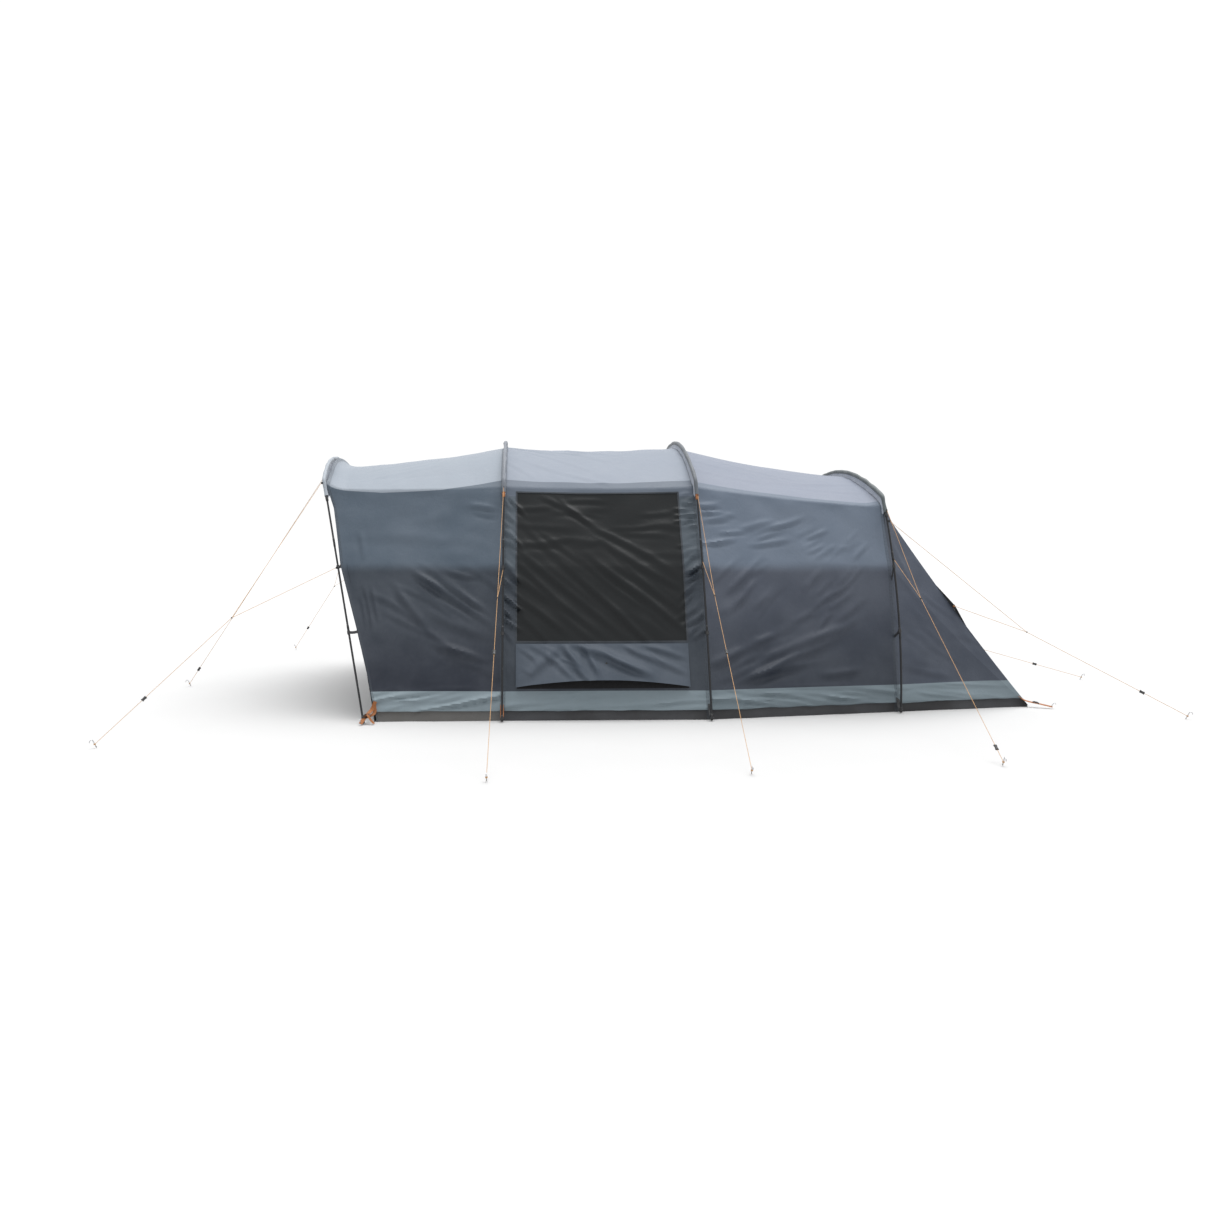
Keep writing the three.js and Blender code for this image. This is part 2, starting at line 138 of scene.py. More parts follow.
class Flow:
    """A socket of a shader tree, with arithmetic that adds its Math nodes."""

    def __init__(self, tree, socket):
        self.tree, self.socket = tree, socket

    def node(self, kind, settings=None, output=0, **values):
        node = self.tree.nodes.new(kind)
        for key, value in (settings or {}).items():
            setattr(node, key, value)
        for key, value in values.items():
            numbered = key[0] == "i" and key[1:].isdigit()
            socket = node.inputs[int(key[1:]) if numbered else key.replace("_", " ")]
            if isinstance(value, Flow):
                self.tree.links.new(value.socket, socket)
            else:
                socket.default_value = value
        return Flow(self.tree, node.outputs[output])

    def maths(self, operation, other=0.0, third=0.0):
        return self.node("ShaderNodeMath", {"operation": operation}, i0=self, i1=other, i2=third)

    def __add__(self, other):
        return self.maths("ADD", other)

    def __sub__(self, other):
        return self.maths("SUBTRACT", other)

    def __mul__(self, other):
        return self.maths("MULTIPLY", other)

    def __rsub__(self, other):
        return self.node("ShaderNodeMath", {"operation": "SUBTRACT"}, i0=other, i1=self)

    __radd__ = __add__
    __rmul__ = __mul__

    def noise(self, **values):
        """Noise laid over these coordinates."""
        return self.node("ShaderNodeTexNoise", Vector=self, **values)

    def wave(self, direction, **values):
        """Bands laid over these coordinates."""
        return self.node("ShaderNodeTexWave", {"bands_direction": direction}, output=1, Vector=self,
                         **values)

    def bump(self, strength, distance=1.0):
        """A normal that follows this height."""
        return self.node("ShaderNodeBump", Strength=strength, Distance=distance, Height=self)

    def step(self, low, high, out_low=0.0, out_high=1.0):
        """A soft step from out_low to out_high between low and high."""
        return self.node("ShaderNodeMapRange", {"interpolation_type": "SMOOTHSTEP"}, Value=self,
                         i1=low, i2=high, i3=out_low, i4=out_high)


def new_material(name, **constants):
    """A material with its shader's own sockets set, and a Flow of the object's coordinates."""
    material = bpy.data.materials.new(name)
    material.use_nodes = True
    tree = material.node_tree
    shader = tree.nodes["Principled BSDF"]
    for key, value in constants.items():
        shader.inputs[key.replace("_", " ")].default_value = value
    return material, shader, Flow(tree, shader.outputs[0]).node("ShaderNodeTexCoord", output=3)


def feed(shader, **flows):
    for key, flow in flows.items():
        flow.tree.links.new(flow.socket, shader.inputs[key.replace("_", " ")])


def mix(factor, a, b):
    """Colour a where factor is 0 and b where it is 1."""
    colours = [c if isinstance(c, Flow) else (*c, 1) for c in (a, b)]
    return factor.node("ShaderNodeMix", {"data_type": "RGBA"}, output=2, i0=factor,
                       i6=colours[0], i7=colours[1])


CORD_TAN, CORD_FLECK = (0.52, 0.30, 0.135), (0.20, 0.12, 0.07)


def cord_material():
    material, shader, spot = new_material("guy_cord_braid", Roughness=0.78)
    braid = spot.wave("DIAGONAL", Scale=190.0, Distortion=0.6)
    fleck = spot.noise(Scale=420.0, Detail=1.0)
    feed(shader, Base_Color=mix(fleck.step(0.52, 0.64) * 0.8, CORD_TAN, CORD_FLECK),
         Normal=braid.bump(0.5, 0.0004))
    return material


cord_look = cord_material()
cords = []
for line in LINES:
    points = [line["start"], line["knot"], line["end"]] if line["branch"] else [line["start"], line["end"]]
    stretches = [("guy_cord_" + line["name"], points, "main")]
    if line["branch"]:
        stretches.append(("guy_branch_" + line["name"], [line["branch"], line["knot"]], "branch"))
    for name, points, part in stretches:
        cord = curve_piece(name, points, CORD_DIAMETER / 2)
        cord.data.materials.append(cord_look)
        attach(cord, "tent")
        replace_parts(cord, "guy_line_" + line["name"])
        cords.append((cord, points, part, line))


# ---- Runners, rings and pegs --------------------------------------------------------------------
# A moulded black runner slides on each line's tail and locks it by friction. A small ring joins
# a fork. The pegs are bent steel wire, driven in at a slant with the hook away from the tent.
def mesh_piece(name, vertices, faces, material, body="tent", slot=None, smooth=True):
    data = bpy.data.meshes.new(name)
    data.from_pydata([tuple(v) for v in vertices], [], faces)
    data.validate()
    data.materials.append(material)
    data.polygons.foreach_set("use_smooth", [smooth] * len(data.polygons))
    piece = set_out(name, data)
    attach(piece, body)
    return piece


def rings_to_faces(count, sides, closed=False):
    faces = []
    for i in range(count if closed else count - 1):
        a, b = i * sides, (i + 1) % count * sides
        faces += [(a + j, a + (j + 1) % sides, b + (j + 1) % sides, b + j) for j in range(sides)]
    if not closed:
        faces.append(tuple(reversed(range(sides))))
        faces.append(tuple(range((count - 1) * sides, count * sides)))
    return faces


def tube_rings(points, radii, sides=16):
    """Rings of vertices round a path, turned as little as possible from one to the next."""
    points = [Vector(p) for p in points]
    vertices, across = [], None
    for i, point in enumerate(points):
        tangent = (points[min(i + 1, len(points) - 1)] - points[max(i - 1, 0)]).normalized()
        if across is None:
            across = tangent.orthogonal().normalized()
        across = (across - tangent * across.dot(tangent)).normalized()
        side = tangent.cross(across)
        radius = radii[i] if hasattr(radii, "__len__") else radii
        for j in range(sides):
            angle = 2 * math.pi * j / sides
            vertices.append(point + (across * math.cos(angle) + side * math.sin(angle)) * radius)
    return vertices


def tube_piece(name, points, radii, material, sides=16, **options):
    vertices = tube_rings(points, radii, sides)
    return mesh_piece(name, vertices, rings_to_faces(len(points), sides), material, **options)


def smooth_path(corners, count):
    """Points along a Catmull-Rom curve through the corners."""
    corners = [Vector(c) for c in corners]
    ends = [corners[0] * 2 - corners[1], *corners, corners[-1] * 2 - corners[-2]]
    path = []
    for i in range(count + 1):
        at = i / count * (len(corners) - 1)
        k = min(int(at), len(corners) - 2)
        t = at - k
        a, b, c, d = ends[k:k + 4]
        path.append(0.5 * (2 * b + (c - a) * t + (2 * a - 5 * b + 4 * c - d) * t * t
                           + (3 * b - a - 3 * c + d) * t * t * t))
    return path


def plastic_material(name, colour, roughness=0.42):
    material, shader, spot = new_material(name)
    grain = spot.noise(Scale=900.0, Detail=3.0)
    scuff = spot.noise(Scale=60.0, Detail=5.0, Roughness=0.7)
    worn = tuple(min(1, c * 1.9 + 0.015) for c in colour)
    feed(shader, Base_Color=mix(scuff.step(0.55, 0.75) * 0.6, colour, worn),
         Roughness=scuff.step(0.3, 0.7, roughness, roughness + 0.2),
         Normal=grain.bump(0.25, 0.0003))
    return material


def steel_material():
    material, shader, spot = new_material("peg_steel_wire", Metallic=1.0)
    drawn = spot.noise(Scale=240.0, Detail=4.0)
    soil = spot.noise(Scale=90.0, Detail=5.0, Roughness=0.7)
    height = spot.node("ShaderNodeSeparateXYZ", output=2, Vector=spot)
    dirt = height.step(0.0, 0.03, 0.75, 0.0) * soil.step(0.35, 0.6)
    feed(shader, Base_Color=mix(dirt, (0.56, 0.56, 0.57), (0.14, 0.105, 0.075)),
         Roughness=drawn.step(0.3, 0.7, 0.24, 0.42) + dirt * 0.4,
         Normal=drawn.bump(0.2, 0.0002))
    return material


black_plastic = plastic_material("black_moulded_plastic", (0.016, 0.016, 0.017))
peg_steel = steel_material()


def runner_piece(line):
    """A waisted slider, thicker at both ends, with a bore for the line and grip ribs outside."""
    spot = line["end"].lerp(line["knot"], line["runner"])
    turn = Vector((0, 0, 1)).rotation_difference(line["pull"]).to_matrix()
    sides, half = 20, 0.015
    profile = []
    for i in range(13):
        z = -half + 2 * half * i / 12
        waist = 1 - 0.22 * (1 - (z / half) ** 2) + (0.05 if i % 2 else 0.0)
        profile.append((z, 0.0108 * waist, 0.0058 * waist))
    outer = [Vector((w * math.cos(a), d * math.sin(a), z)) for z, w, d in profile
             for a in (2 * math.pi * j / sides for j in range(sides))]
    inner = [Vector((0.0023 * math.cos(a), 0.0023 * math.sin(a), z)) for z, _, _ in reversed(profile)
             for a in (2 * math.pi * j / sides for j in range(sides))]
    vertices = [spot + turn @ v for v in outer + inner]
    faces = rings_to_faces(2 * len(profile), sides, closed=True)
    name = "runner_" + line["name"]
    piece = mesh_piece(name + "_body", vertices, faces, black_plastic, body=name, slot="runner_plastic")
    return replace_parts(piece, name)


def peg_piece(line):
    """The wire that shows above ground: a slanting shank and a hook that turns down again."""
    away = Vector((-line["pull"].x, -line["pull"].y, 0)).normalized()
    up = Vector((0, 0, 1))
    profile = [(-0.012, 0.004), (0, HOOK_HEIGHT), (0.011, 0.045), (0.020, 0.052), (0.029, 0.046),
               (0.031, 0.035)]
    foot = Vector((line["hook"].x, line["hook"].y, 0))
    path = smooth_path([foot + away * x + up * z for x, z in profile], 26)
    radii = [0.003] * 26 + [0.0024]
    piece = tube_piece("peg_%s_wire" % line["name"], path, radii, peg_steel, sides=14, slot="peg_steel")
    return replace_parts(piece, "peg_" + line["name"])


def loop_piece(name, centre, axis, radius, thickness, material, **options):
    """A small closed ring round an axis."""
    axis = Vector(axis).normalized()
    across = axis.orthogonal().normalized()
    side = axis.cross(across)
    vertices = []
    for i in range(18):
        out = across * math.cos(i * math.pi / 9) + side * math.sin(i * math.pi / 9)
        vertices += [centre + out * (radius + thickness * math.cos(j * math.pi / 4))
                     + axis * thickness * math.sin(j * math.pi / 4) for j in range(8)]
    return mesh_piece(name, vertices, rings_to_faces(18, 8, closed=True), material, **options)


for line in LINES:
    line["fittings"] = [runner_piece(line), peg_piece(line)]
    for number, offset in enumerate((-0.003, 0.0, 0.003)):
        shank = Vector((line["hook"].x, line["hook"].y, HOOK_HEIGHT + offset))
        line["fittings"].append(loop_piece("peg_loop_%s_%d" % (line["name"], number), shank, (0, 0, 1),
                                           0.0048, 0.0015, cord_look, slot="guy_cord"))
    if line["branch"]:
        line["fittings"].append(loop_piece("fork_ring_" + line["name"], line["knot"], line["pull"],
                                           0.0045, 0.0022, black_plastic, slot="runner_plastic"))

for cord, points, part, line in cords:
    length = sum((b - a).length for a, b in zip(points, points[1:]))
    part == "main"


# ---- Pole hoops ---------------------------------------------------------------------------------
# Four hoops of black coated tube in sections that plug together at swaged joints. The roof
# section meets each leg at a bent shoulder piece, and each foot has a plastic cap on its pin.
POLE_RADIUS = 0.007
LEAN = 0.256
HOOPS = {
    "front": dict(x=-0.915, lean=LEAN, foot=1.518, shoulder=(0.814, 1.711), top=1.93, bulge=0.0),
    "second": dict(x=0.0, lean=0.0, foot=1.493, shoulder=(0.993, 1.646), top=2.0, bulge=0.1),
    "third": dict(x=1.411, lean=0.0, foot=1.493, shoulder=(0.993, 1.646), top=2.0, bulge=0.1),
    "rear": dict(x=2.79, lean=0.0, foot=1.264, shoulder=(1.024, 1.524), top=1.762, bulge=0.22),
}


def up_leg(v):
    """How far a stop is up its own side's leg: more than 1 is on the roof."""
    return np.minimum(v, 3 - v)


def arch(hoop, v):
    """y and height of a hoop: v runs 0 to 1 up the near leg, to 2 over the roof, to 3 down."""
    v = np.asarray(v, float)
    up = np.minimum(up_leg(v), 1)
    across = np.clip(2 * (v - 1) - 1, -1, 1)
    shoulder_y, shoulder_z = hoop["shoulder"]
    leg = hoop["foot"] + (shoulder_y - hoop["foot"]) * up + hoop["bulge"] * 2 * up * (1 - up)
    knee = hoop.get("knee")
    if knee:
        leg = leg + knee[0] * np.minimum(up / knee[1], (1 - up) / (1 - knee[1]))
    roof = (v > 1) & (v < 2)
    y = np.where(roof, shoulder_y * across, leg * np.sign(v - 1.5))
    z = np.where(roof, shoulder_z + (hoop["top"] - shoulder_z) * (1 - across ** 2), shoulder_z * up)
    return y, z


def on_hoop(hoop, v, outward=0.0, forward=0.0):
    """Points of the leaning hoop in the part's frame, moved outward in its plane or forward."""
    y, z = arch(hoop, v)
    if outward:
        step = 0.004
        y0, z0 = arch(hoop, np.asarray(v, float) - step)
        y1, z1 = arch(hoop, np.asarray(v, float) + step)
        size = np.hypot(y1 - y0, z1 - z0)
        y, z = y - outward * (z1 - z0) / size, z + outward * (y1 - y0) / size
    lean = hoop["lean"]
    x = hoop["x"] - CENTRE_X - math.sin(lean) * z - math.cos(lean) * forward
    return np.stack([x, y, math.cos(lean) * z - math.sin(lean) * forward], -1)


def pole_material():
    material, shader, spot = new_material("black_coated_tube", Metallic=0.35)
    orange_peel = spot.noise(Scale=500.0, Detail=2.0)
    rubbed = spot.noise(Scale=28.0, Detail=6.0, Roughness=0.75)
    feed(shader, Base_Color=mix(rubbed.step(0.62, 0.74), (0.014, 0.015, 0.017), (0.09, 0.09, 0.095)),
         Roughness=rubbed.step(0.35, 0.7, 0.3, 0.5),
         Normal=orange_peel.bump(0.15, 0.0002))
    return material


pole_look = pole_material()
LEG_STOPS = np.concatenate([[0.004], np.linspace(0.04, 0.94, 30), [0.965, 0.98, 0.99]])
SHOULDER_BEND = [0.995, 1.002, 1.006, 1.012]
ROOF_STOPS = np.concatenate([[1.02, 1.035], np.linspace(1.06, 1.5, 20)])
HALF_STOPS = np.concatenate([LEG_STOPS, SHOULDER_BEND, ROOF_STOPS])
HOOP_STOPS = np.concatenate([HALF_STOPS, (3 - HALF_STOPS[:-1])[::-1]])


def rounded(points, passes=2, weight=0.5):
    """A path with its sharp corner eased by its neighbours."""
    for _ in range(passes):
        middle = points[1:-1] * (1 - weight) + (points[:-2] + points[2:]) * weight / 2
        points = np.vstack([points[:1], middle, points[-1:]])
    return points


for name, hoop in HOOPS.items():
    path = rounded(on_hoop(hoop, HOOP_STOPS))
    pole = tube_piece(name + "_hoop_tube", path, POLE_RADIUS, pole_look, sides=20, slot="pole_tube")
    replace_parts(pole, name + "_hoop_pole")
    joints = [0.36, 0.72, 1.28, 1.72, 2.28, 2.64]
    for number, v in enumerate(joints):
        spots = on_hoop(hoop, np.linspace(v - 0.02, v + 0.02, 7))
        radii = POLE_RADIUS + 0.0012 * np.array([0.2, 1, 1, 1, 1, 1, 0.2])
        tube_piece("%s_hoop_joint_%d" % (name, number), spots, radii, pole_look, sides=20, slot="pole_tube")
    for side, v in (("near", 0.0), ("far", 3.0)):
        way = 1 if v == 0 else -1
        foot = on_hoop(hoop, np.array([0.0035, 0.006, 0.024, 0.03]) * way + v)
        tube_piece("%s_hoop_foot_%s" % (name, side), foot, [0.006, 0.0092, 0.0092, 0.0078], black_plastic,
                   sides=20, slot="runner_plastic")


# ---- Flysheet -----------------------------------------------------------------------------------
# Coated polyester taffeta in four bays, felled together at each hoop and clipped to the poles.
# The walls turn in at a knee, a pale valance runs round the foot, and a dark mud flap lies below.
SECTIONS = {
    "front": dict(x=-0.88, lean=LEAN, foot=1.463, shoulder=(0.776, 1.659), top=1.888, bulge=0.0,
                  knee=(0.03, 0.645)),
    "second": dict(x=0.0, lean=0.0, foot=1.448, shoulder=(0.955, 1.598), top=1.958, bulge=0.0,
                   knee=(0.06, 0.645)),
    "third": dict(x=1.411, lean=0.0, foot=1.448, shoulder=(0.955, 1.598), top=1.958, bulge=0.0,
                  knee=(0.06, 0.645)),
    "rear": dict(x=2.79, lean=0.0, foot=1.224, shoulder=(0.992, 1.45), top=1.722, bulge=0.0,
                 knee=(0.085, 0.7)),
    "tail": dict(x=3.81, lean=0.0, foot=1.062, shoulder=(1.058, 0.01), top=0.01, bulge=0.0),
}
VALANCE_TOP, VALANCE_FOOT, KNEE_HEIGHT = 0.19, 0.062, 1.03
CLOTH = 0.0012
WINDOW_S, WINDOW_UP, VENT_UP = (0.07, 0.905), (0.325, 0.975), (0.129, 0.318)

# Single creases as x0, z0, x1, z1, width and depth, then groups of like creases as the ranges of
# x, z, angle and length that they are drawn from, with their width, depth and number.
CREASES = {
    "front": [(-0.61, 0.97, -0.115, 0.66, 0.022, 0.010), (-0.43, 0.92, -0.14, 0.74, 0.020, 0.008),
              (-0.40, 0.99, -0.20, 0.95, 0.016, 0.005), (-0.76, 0.88, -0.54, 0.63, 0.024, 0.007),
              (-0.62, 0.96, -0.42, 0.86, 0.020, 0.005), (-0.98, 0.86, -0.91, 0.60, 0.016, 0.005),
              (-0.93, 0.86, -0.875, 0.66, 0.016, 0.005), (-1.00, 0.80, -0.955, 0.62, 0.014, 0.004),
              (-0.44, 0.49, -0.115, 0.39, 0.022, 0.006), (-0.36, 0.47, -0.20, 0.42, 0.018, 0.005),
              (-0.24, 1.46, -0.06, 1.43, 0.018, 0.006), (-0.22, 1.42, -0.06, 1.39, 0.016, 0.005),
              (-1.04, 1.25, -1.01, 1.08, 0.020, 0.004), (-0.50, 0.70, -0.10, 0.55, 0.030, 0.004)],
    "living": [(0.307, 1.513, 0.651, 1.32, 0.018, 0.006), (0.403, 1.513, 0.623, 1.333, 0.016, 0.005),
               (0.664, 1.294, 1.146, 1.035, 0.020, 0.006), (0.733, 1.19, 1.283, 0.867, 0.022, 0.006),
               (0.155, 1.10, 0.788, 0.596, 0.022, 0.007), (0.128, 1.035, 0.678, 0.57, 0.020, 0.006),
               (0.637, 1.061, 1.269, 0.596, 0.024, 0.007), (0.128, 0.803, 0.43, 0.57, 0.020, 0.006),
               (0.458, 1.035, 0.953, 0.583, 0.024, 0.006), (0.788, 1.035, 1.283, 0.70, 0.022, 0.005)],
    "bedroom": [(1.73, 0.286, 2.43, 0.57, 0.034, 0.012), (1.824, 0.40, 2.40, 0.60, 0.028, 0.009),
                (1.435, 0.363, 1.663, 0.454, 0.026, 0.009), (1.70, 0.272, 2.16, 0.363, 0.026, 0.009),
                (2.24, 0.272, 2.51, 0.30, 0.022, 0.007), (1.757, 0.50, 1.90, 0.55, 0.022, 0.006)],
    "rear": [(2.86, 0.32, 3.2, 0.24, 0.024, 0.005), (2.83, 1.2, 2.95, 0.9, 0.02, 0.004)],
}
CREASE_GROUPS = {
    "front": [(-0.85, -0.1, 0.30, 0.95, -45, -20, 0.2, 0.5, 0.020, 0.0030, 12),
              (-1.10, -0.1, 1.10, 1.55, -20, 20, 0.2, 0.6, 0.035, 0.0018, 9),
              (-0.95, 0.0, 0.07, 0.18, 3, 12, 0.2, 0.6, 0.011, 0.0036, 14)],
    "living": [(0.0, 0.1, 1.05, 1.55, -65, -45, 0.08, 0.18, 0.011, 0.0100, 16),
               (0.0, 0.1, 0.55, 1.05, -50, -32, 0.08, 0.18, 0.011, 0.0105, 20),
               (1.29, 1.4, 1.10, 1.55, -5, 15, 0.08, 0.12, 0.011, 0.0082, 18),
               (1.29, 1.4, 0.55, 1.10, 25, 50, 0.10, 0.18, 0.012, 0.0095, 18),
               (0.0, 0.12, 0.30, 0.55, -70, -50, 0.10, 0.2, 0.014, 0.0030, 6),
               (0.15, 1.25, 0.55, 1.20, -44, -32, 0.25, 0.6, 0.020, 0.0036, 24),
               (0.15, 0.6, 1.15, 1.50, -8, 4, 0.2, 0.4, 0.018, 0.0030, 9),
               (0.9, 1.27, 1.10, 1.45, -4, 6, 0.15, 0.35, 0.018, 0.0026, 7),
               (0.0, 1.4, 0.07, 0.18, 3, 12, 0.2, 0.6, 0.011, 0.0034, 24)],
    "bedroom": [(1.46, 1.66, 1.18, 1.47, -2, 7, 0.15, 0.28, 0.014, 0.0065, 8),
                (1.75, 2.1, 1.18, 1.35, 8, 22, 0.20, 0.35, 0.016, 0.0048, 6),
                (2.15, 2.35, 1.12, 1.30, 20, 35, 0.12, 0.22, 0.016, 0.0048, 5),
                (2.40, 2.6, 1.10, 1.25, 28, 45, 0.10, 0.18, 0.016, 0.0040, 4),
                (1.50, 2.0, 0.68, 1.00, 30, 50, 0.15, 0.3, 0.018, 0.0048, 10),
                (2.10, 2.55, 0.62, 1.00, 25, 50, 0.15, 0.3, 0.018, 0.0048, 10),
                (1.50, 2.6, 0.25, 0.60, 8, 28, 0.20, 0.5, 0.022, 0.0036, 12),
                (1.42, 2.75, 0.07, 0.18, -10, -2, 0.2, 0.6, 0.011, 0.0034, 24)],
    "rear": [(2.85, 3.4, 0.22, 0.9, -60, -10, 0.15, 0.4, 0.022, 0.0026, 12),
             (2.80, 3.6, 0.07, 0.18, -10, 0, 0.2, 0.5, 0.010, 0.0026, 9)],
}
ROOF_GROUPS = {
    "front": [(-0.9, -0.05, -0.7, 0.7, 12, 38, 0.3, 0.6, 0.022, 0.0028, 12),
              (-1.2, -0.9, -0.7, 0.7, 60, 100, 0.2, 0.5, 0.03, 0.002, 8)],
    "living": [(0.05, 0.9, -0.88, -0.1, -50, -22, 0.3, 0.7, 0.018, 0.0048, 13),
               (0.3, 1.3, -0.2, 0.85, -30, 30, 0.3, 0.7, 0.022, 0.003, 10)],
    "bedroom": [(1.45, 2.7, -0.85, 0.85, -18, 12, 0.4, 0.9, 0.024, 0.0028, 16)],
    "rear": [(2.85, 3.7, -0.9, 0.9, -20, 20, 0.3, 0.7, 0.03, 0.0025, 14)],
}


def crease(across, height, x0, z0, x1, z1, width, depth, bend=0.0):
    """A soft ridge along one line with a trough beside it, faded out at both ends."""
    length = math.hypot(x1 - x0, z1 - z0)
    c, s = (x1 - x0) / length, (z1 - z0) / length
    along = ((across - x0) * c + (height - z0) * s) / length - 0.5
    away = (-(across - x0) * s + (height - z0) * c) + bend * length * (along ** 2 - 0.25)
    away = away / width
    return depth * np.exp(-(2 * along) ** 4) * (np.exp(-away ** 2) - 0.6 * np.exp(-(away + 1.7) ** 2))


def crease_field(across, height, singles, groups, seed):
    random = np.random.default_rng(seed)
    field = np.zeros_like(across)
    for row in singles:
        field += crease(across, height, *row, bend=random.uniform(-0.12, 0.12))
    for x0, x1, z0, z1, turn0, turn1, long0, long1, width, depth, number in groups:
        for _ in range(number):
            x, z = random.uniform(x0, x1), random.uniform(z0, z1)
            turn = math.radians(random.uniform(turn0, turn1))
            half = random.uniform(long0, long1) / 2
            dx, dz = half * math.cos(turn), half * math.sin(turn)
            field += crease(across, height, x - dx, z - dz, x + dx, z + dz,
                            width * random.uniform(0.75, 1.35),
                            depth * random.uniform(0.5, 1.15), bend=random.uniform(-0.15, 0.15))
    for _ in range(7):
        turn, size = random.uniform(0, math.pi), random.uniform(0.22, 0.7)
        wave = (across * math.cos(turn) + height * math.sin(turn)) * 2 * math.pi / size
        field += 0.0008 * np.sin(wave + random.uniform(0, 6.3))
    return field


def roof_sag(bay, s):
    """How far the cloth hangs below the straight line between its hoops, along the bay."""
    arc = 4 * s * (1 - s)
    if bay == "front":
        return 0.034 * (1 - np.exp(-s / 0.03)) * (1 - s) + 0.026 * arc
    return {"living": 0.03, "bedroom": 0.035, "rear": 0.075}[bay] * arc


ROOF_SEAM = {"front": (0.996, 0.984, 0.996, 1.040), "living": (1.042, 1.036, 1.036, 1.040),
             "bedroom": (1.034, 1.026, 1.022, 1.022),
             "rear": (1.0, 1.0, 1.0, 1.0)}
CREASE_DEPTH = {"front": 2.3, "living": 1.35, "bedroom": 2.3, "rear": 1.6}
BAYS = {"front": ("front", "second"), "living": ("second", "third"), "bedroom": ("third", "rear"),
        "rear": ("rear", "tail")}


def grid_normals(points):
    along, across = np.gradient(points, axis=0), np.gradient(points, axis=1)
    normals = np.cross(along, across)
    return normals / np.maximum(np.linalg.norm(normals, axis=-1, keepdims=True), 1e-9)


def rear_rim(v):
    """How far the cloth rises towards the rear hoop at its shoulders."""
    return 0.030 * np.exp(-((up_leg(v) - 1.03) / 0.09) ** 2)


def bay_surface(bay, s_stops, v_stops, lift=0.0, creased=True):
    """The bay's cloth as a grid of points, with its height up the wall at each one."""
    first, last = (SECTIONS[name] for name in BAYS[bay])
    s, v = s_stops[:, None], v_stops[None, :]
    share = s[..., None]
    points = on_hoop(first, v_stops)[None] * (1 - share) + on_hoop(last, v_stops)[None] * share
    up = np.minimum(up_leg(v), 1)
    dip = roof_sag(bay, s)
    points[..., 2] -= dip * np.where(up < 1, up * 0.45, 0.45 + 0.55 * np.clip((up_leg(v) - 1) / 0.12, 0, 1))
    points[..., 1] -= np.sign(points[..., 1]) * 0.5 * dip * np.sin(np.pi * up)
    # Past the shoulder the height goes on as a measure that reaches 2 at the roof panel's seam.
    seam_at = np.interp(s, [0, 0.3, 0.65, 1], ROOF_SEAM[bay])
    height = points[..., 2].copy()
    if bay != "rear":
        height = np.where((v > 0.96) & (v < 2.04), 2.0 + (up_leg(v) - seam_at) * 2, height)
    if bay == "front":
        # The free edge is cut hollow between the clips that hold it to the front hoop.
        hollow = np.interp(points[..., 2], [0, 0.1, 0.3, 0.6, 1.03, 1.25, 1.44, 1.52, 1.6],
                           [0.040, 0.040, 0.033, 0.015, -0.022, -0.012, -0.006, -0.020, -0.035])
        points[..., 0] += np.where(up < 1, hollow * (1 - s) ** 4, -0.035 * (1 - s) ** 5)
    mud = 1 / (1 + np.exp(np.clip((points[..., 2] - VALANCE_FOOT) / 0.0012, -30, 30)))
    mud = mud * np.where(up < 1, 1, 0)
    points[..., 1] -= np.sign(points[..., 1]) * 0.015 * mud
    normals = grid_normals(points)
    relief = np.full(height.shape, float(lift))
    if bay == "front":
        # The roof flares up to meet its sleeve like a rim.
        relief += 0.048 * np.clip(1 - s / 0.11, 0, 1) ** 1.7 * np.clip((up - 0.9) / 0.1, 0, 1) ** 1.5
    if bay in ("bedroom", "rear"):
        to_hoop = 1 - s if bay == "bedroom" else s
        relief += rear_rim(v) * np.clip(1 - to_hoop / 0.09, 0, 1) ** 1.6
    if creased:
        x, y, z = points[..., 0] + CENTRE_X, points[..., 1], points[..., 2]
        seed = list(BAYS).index(bay) * 10
        near = crease_field(x, z, CREASES[bay], CREASE_GROUPS[bay], seed) * CREASE_DEPTH[bay]
        far = crease_field(x, z, [], CREASE_GROUPS[bay], seed + 1) * CREASE_DEPTH[bay]
        roof = crease_field(x, y, [], ROOF_GROUPS[bay], seed + 2)
        roof_share = np.clip((up - 0.97) / 0.03, 0, 1) * np.clip((1 - np.abs(v - 1.5) * 2) / 0.06, 0, 1)
        wall = np.where(v < 1.5, near, far)
        creases = np.where(up < 1, wall * np.clip((1 - up) / 0.03, 0, 1), roof * roof_share)
        # Neighbouring bays are sewn edge to edge, so their creases die out at the seam.
        relief += creases * np.clip(np.minimum(s, 1 - s) / 0.012, 0, 1)
    return points + normals * relief[..., None], height


def mark(data, name, values):
    """A named number at every vertex, for the cloth's material to read."""
    data.attributes.new(name, "FLOAT", "POINT").data.foreach_set("value", values)


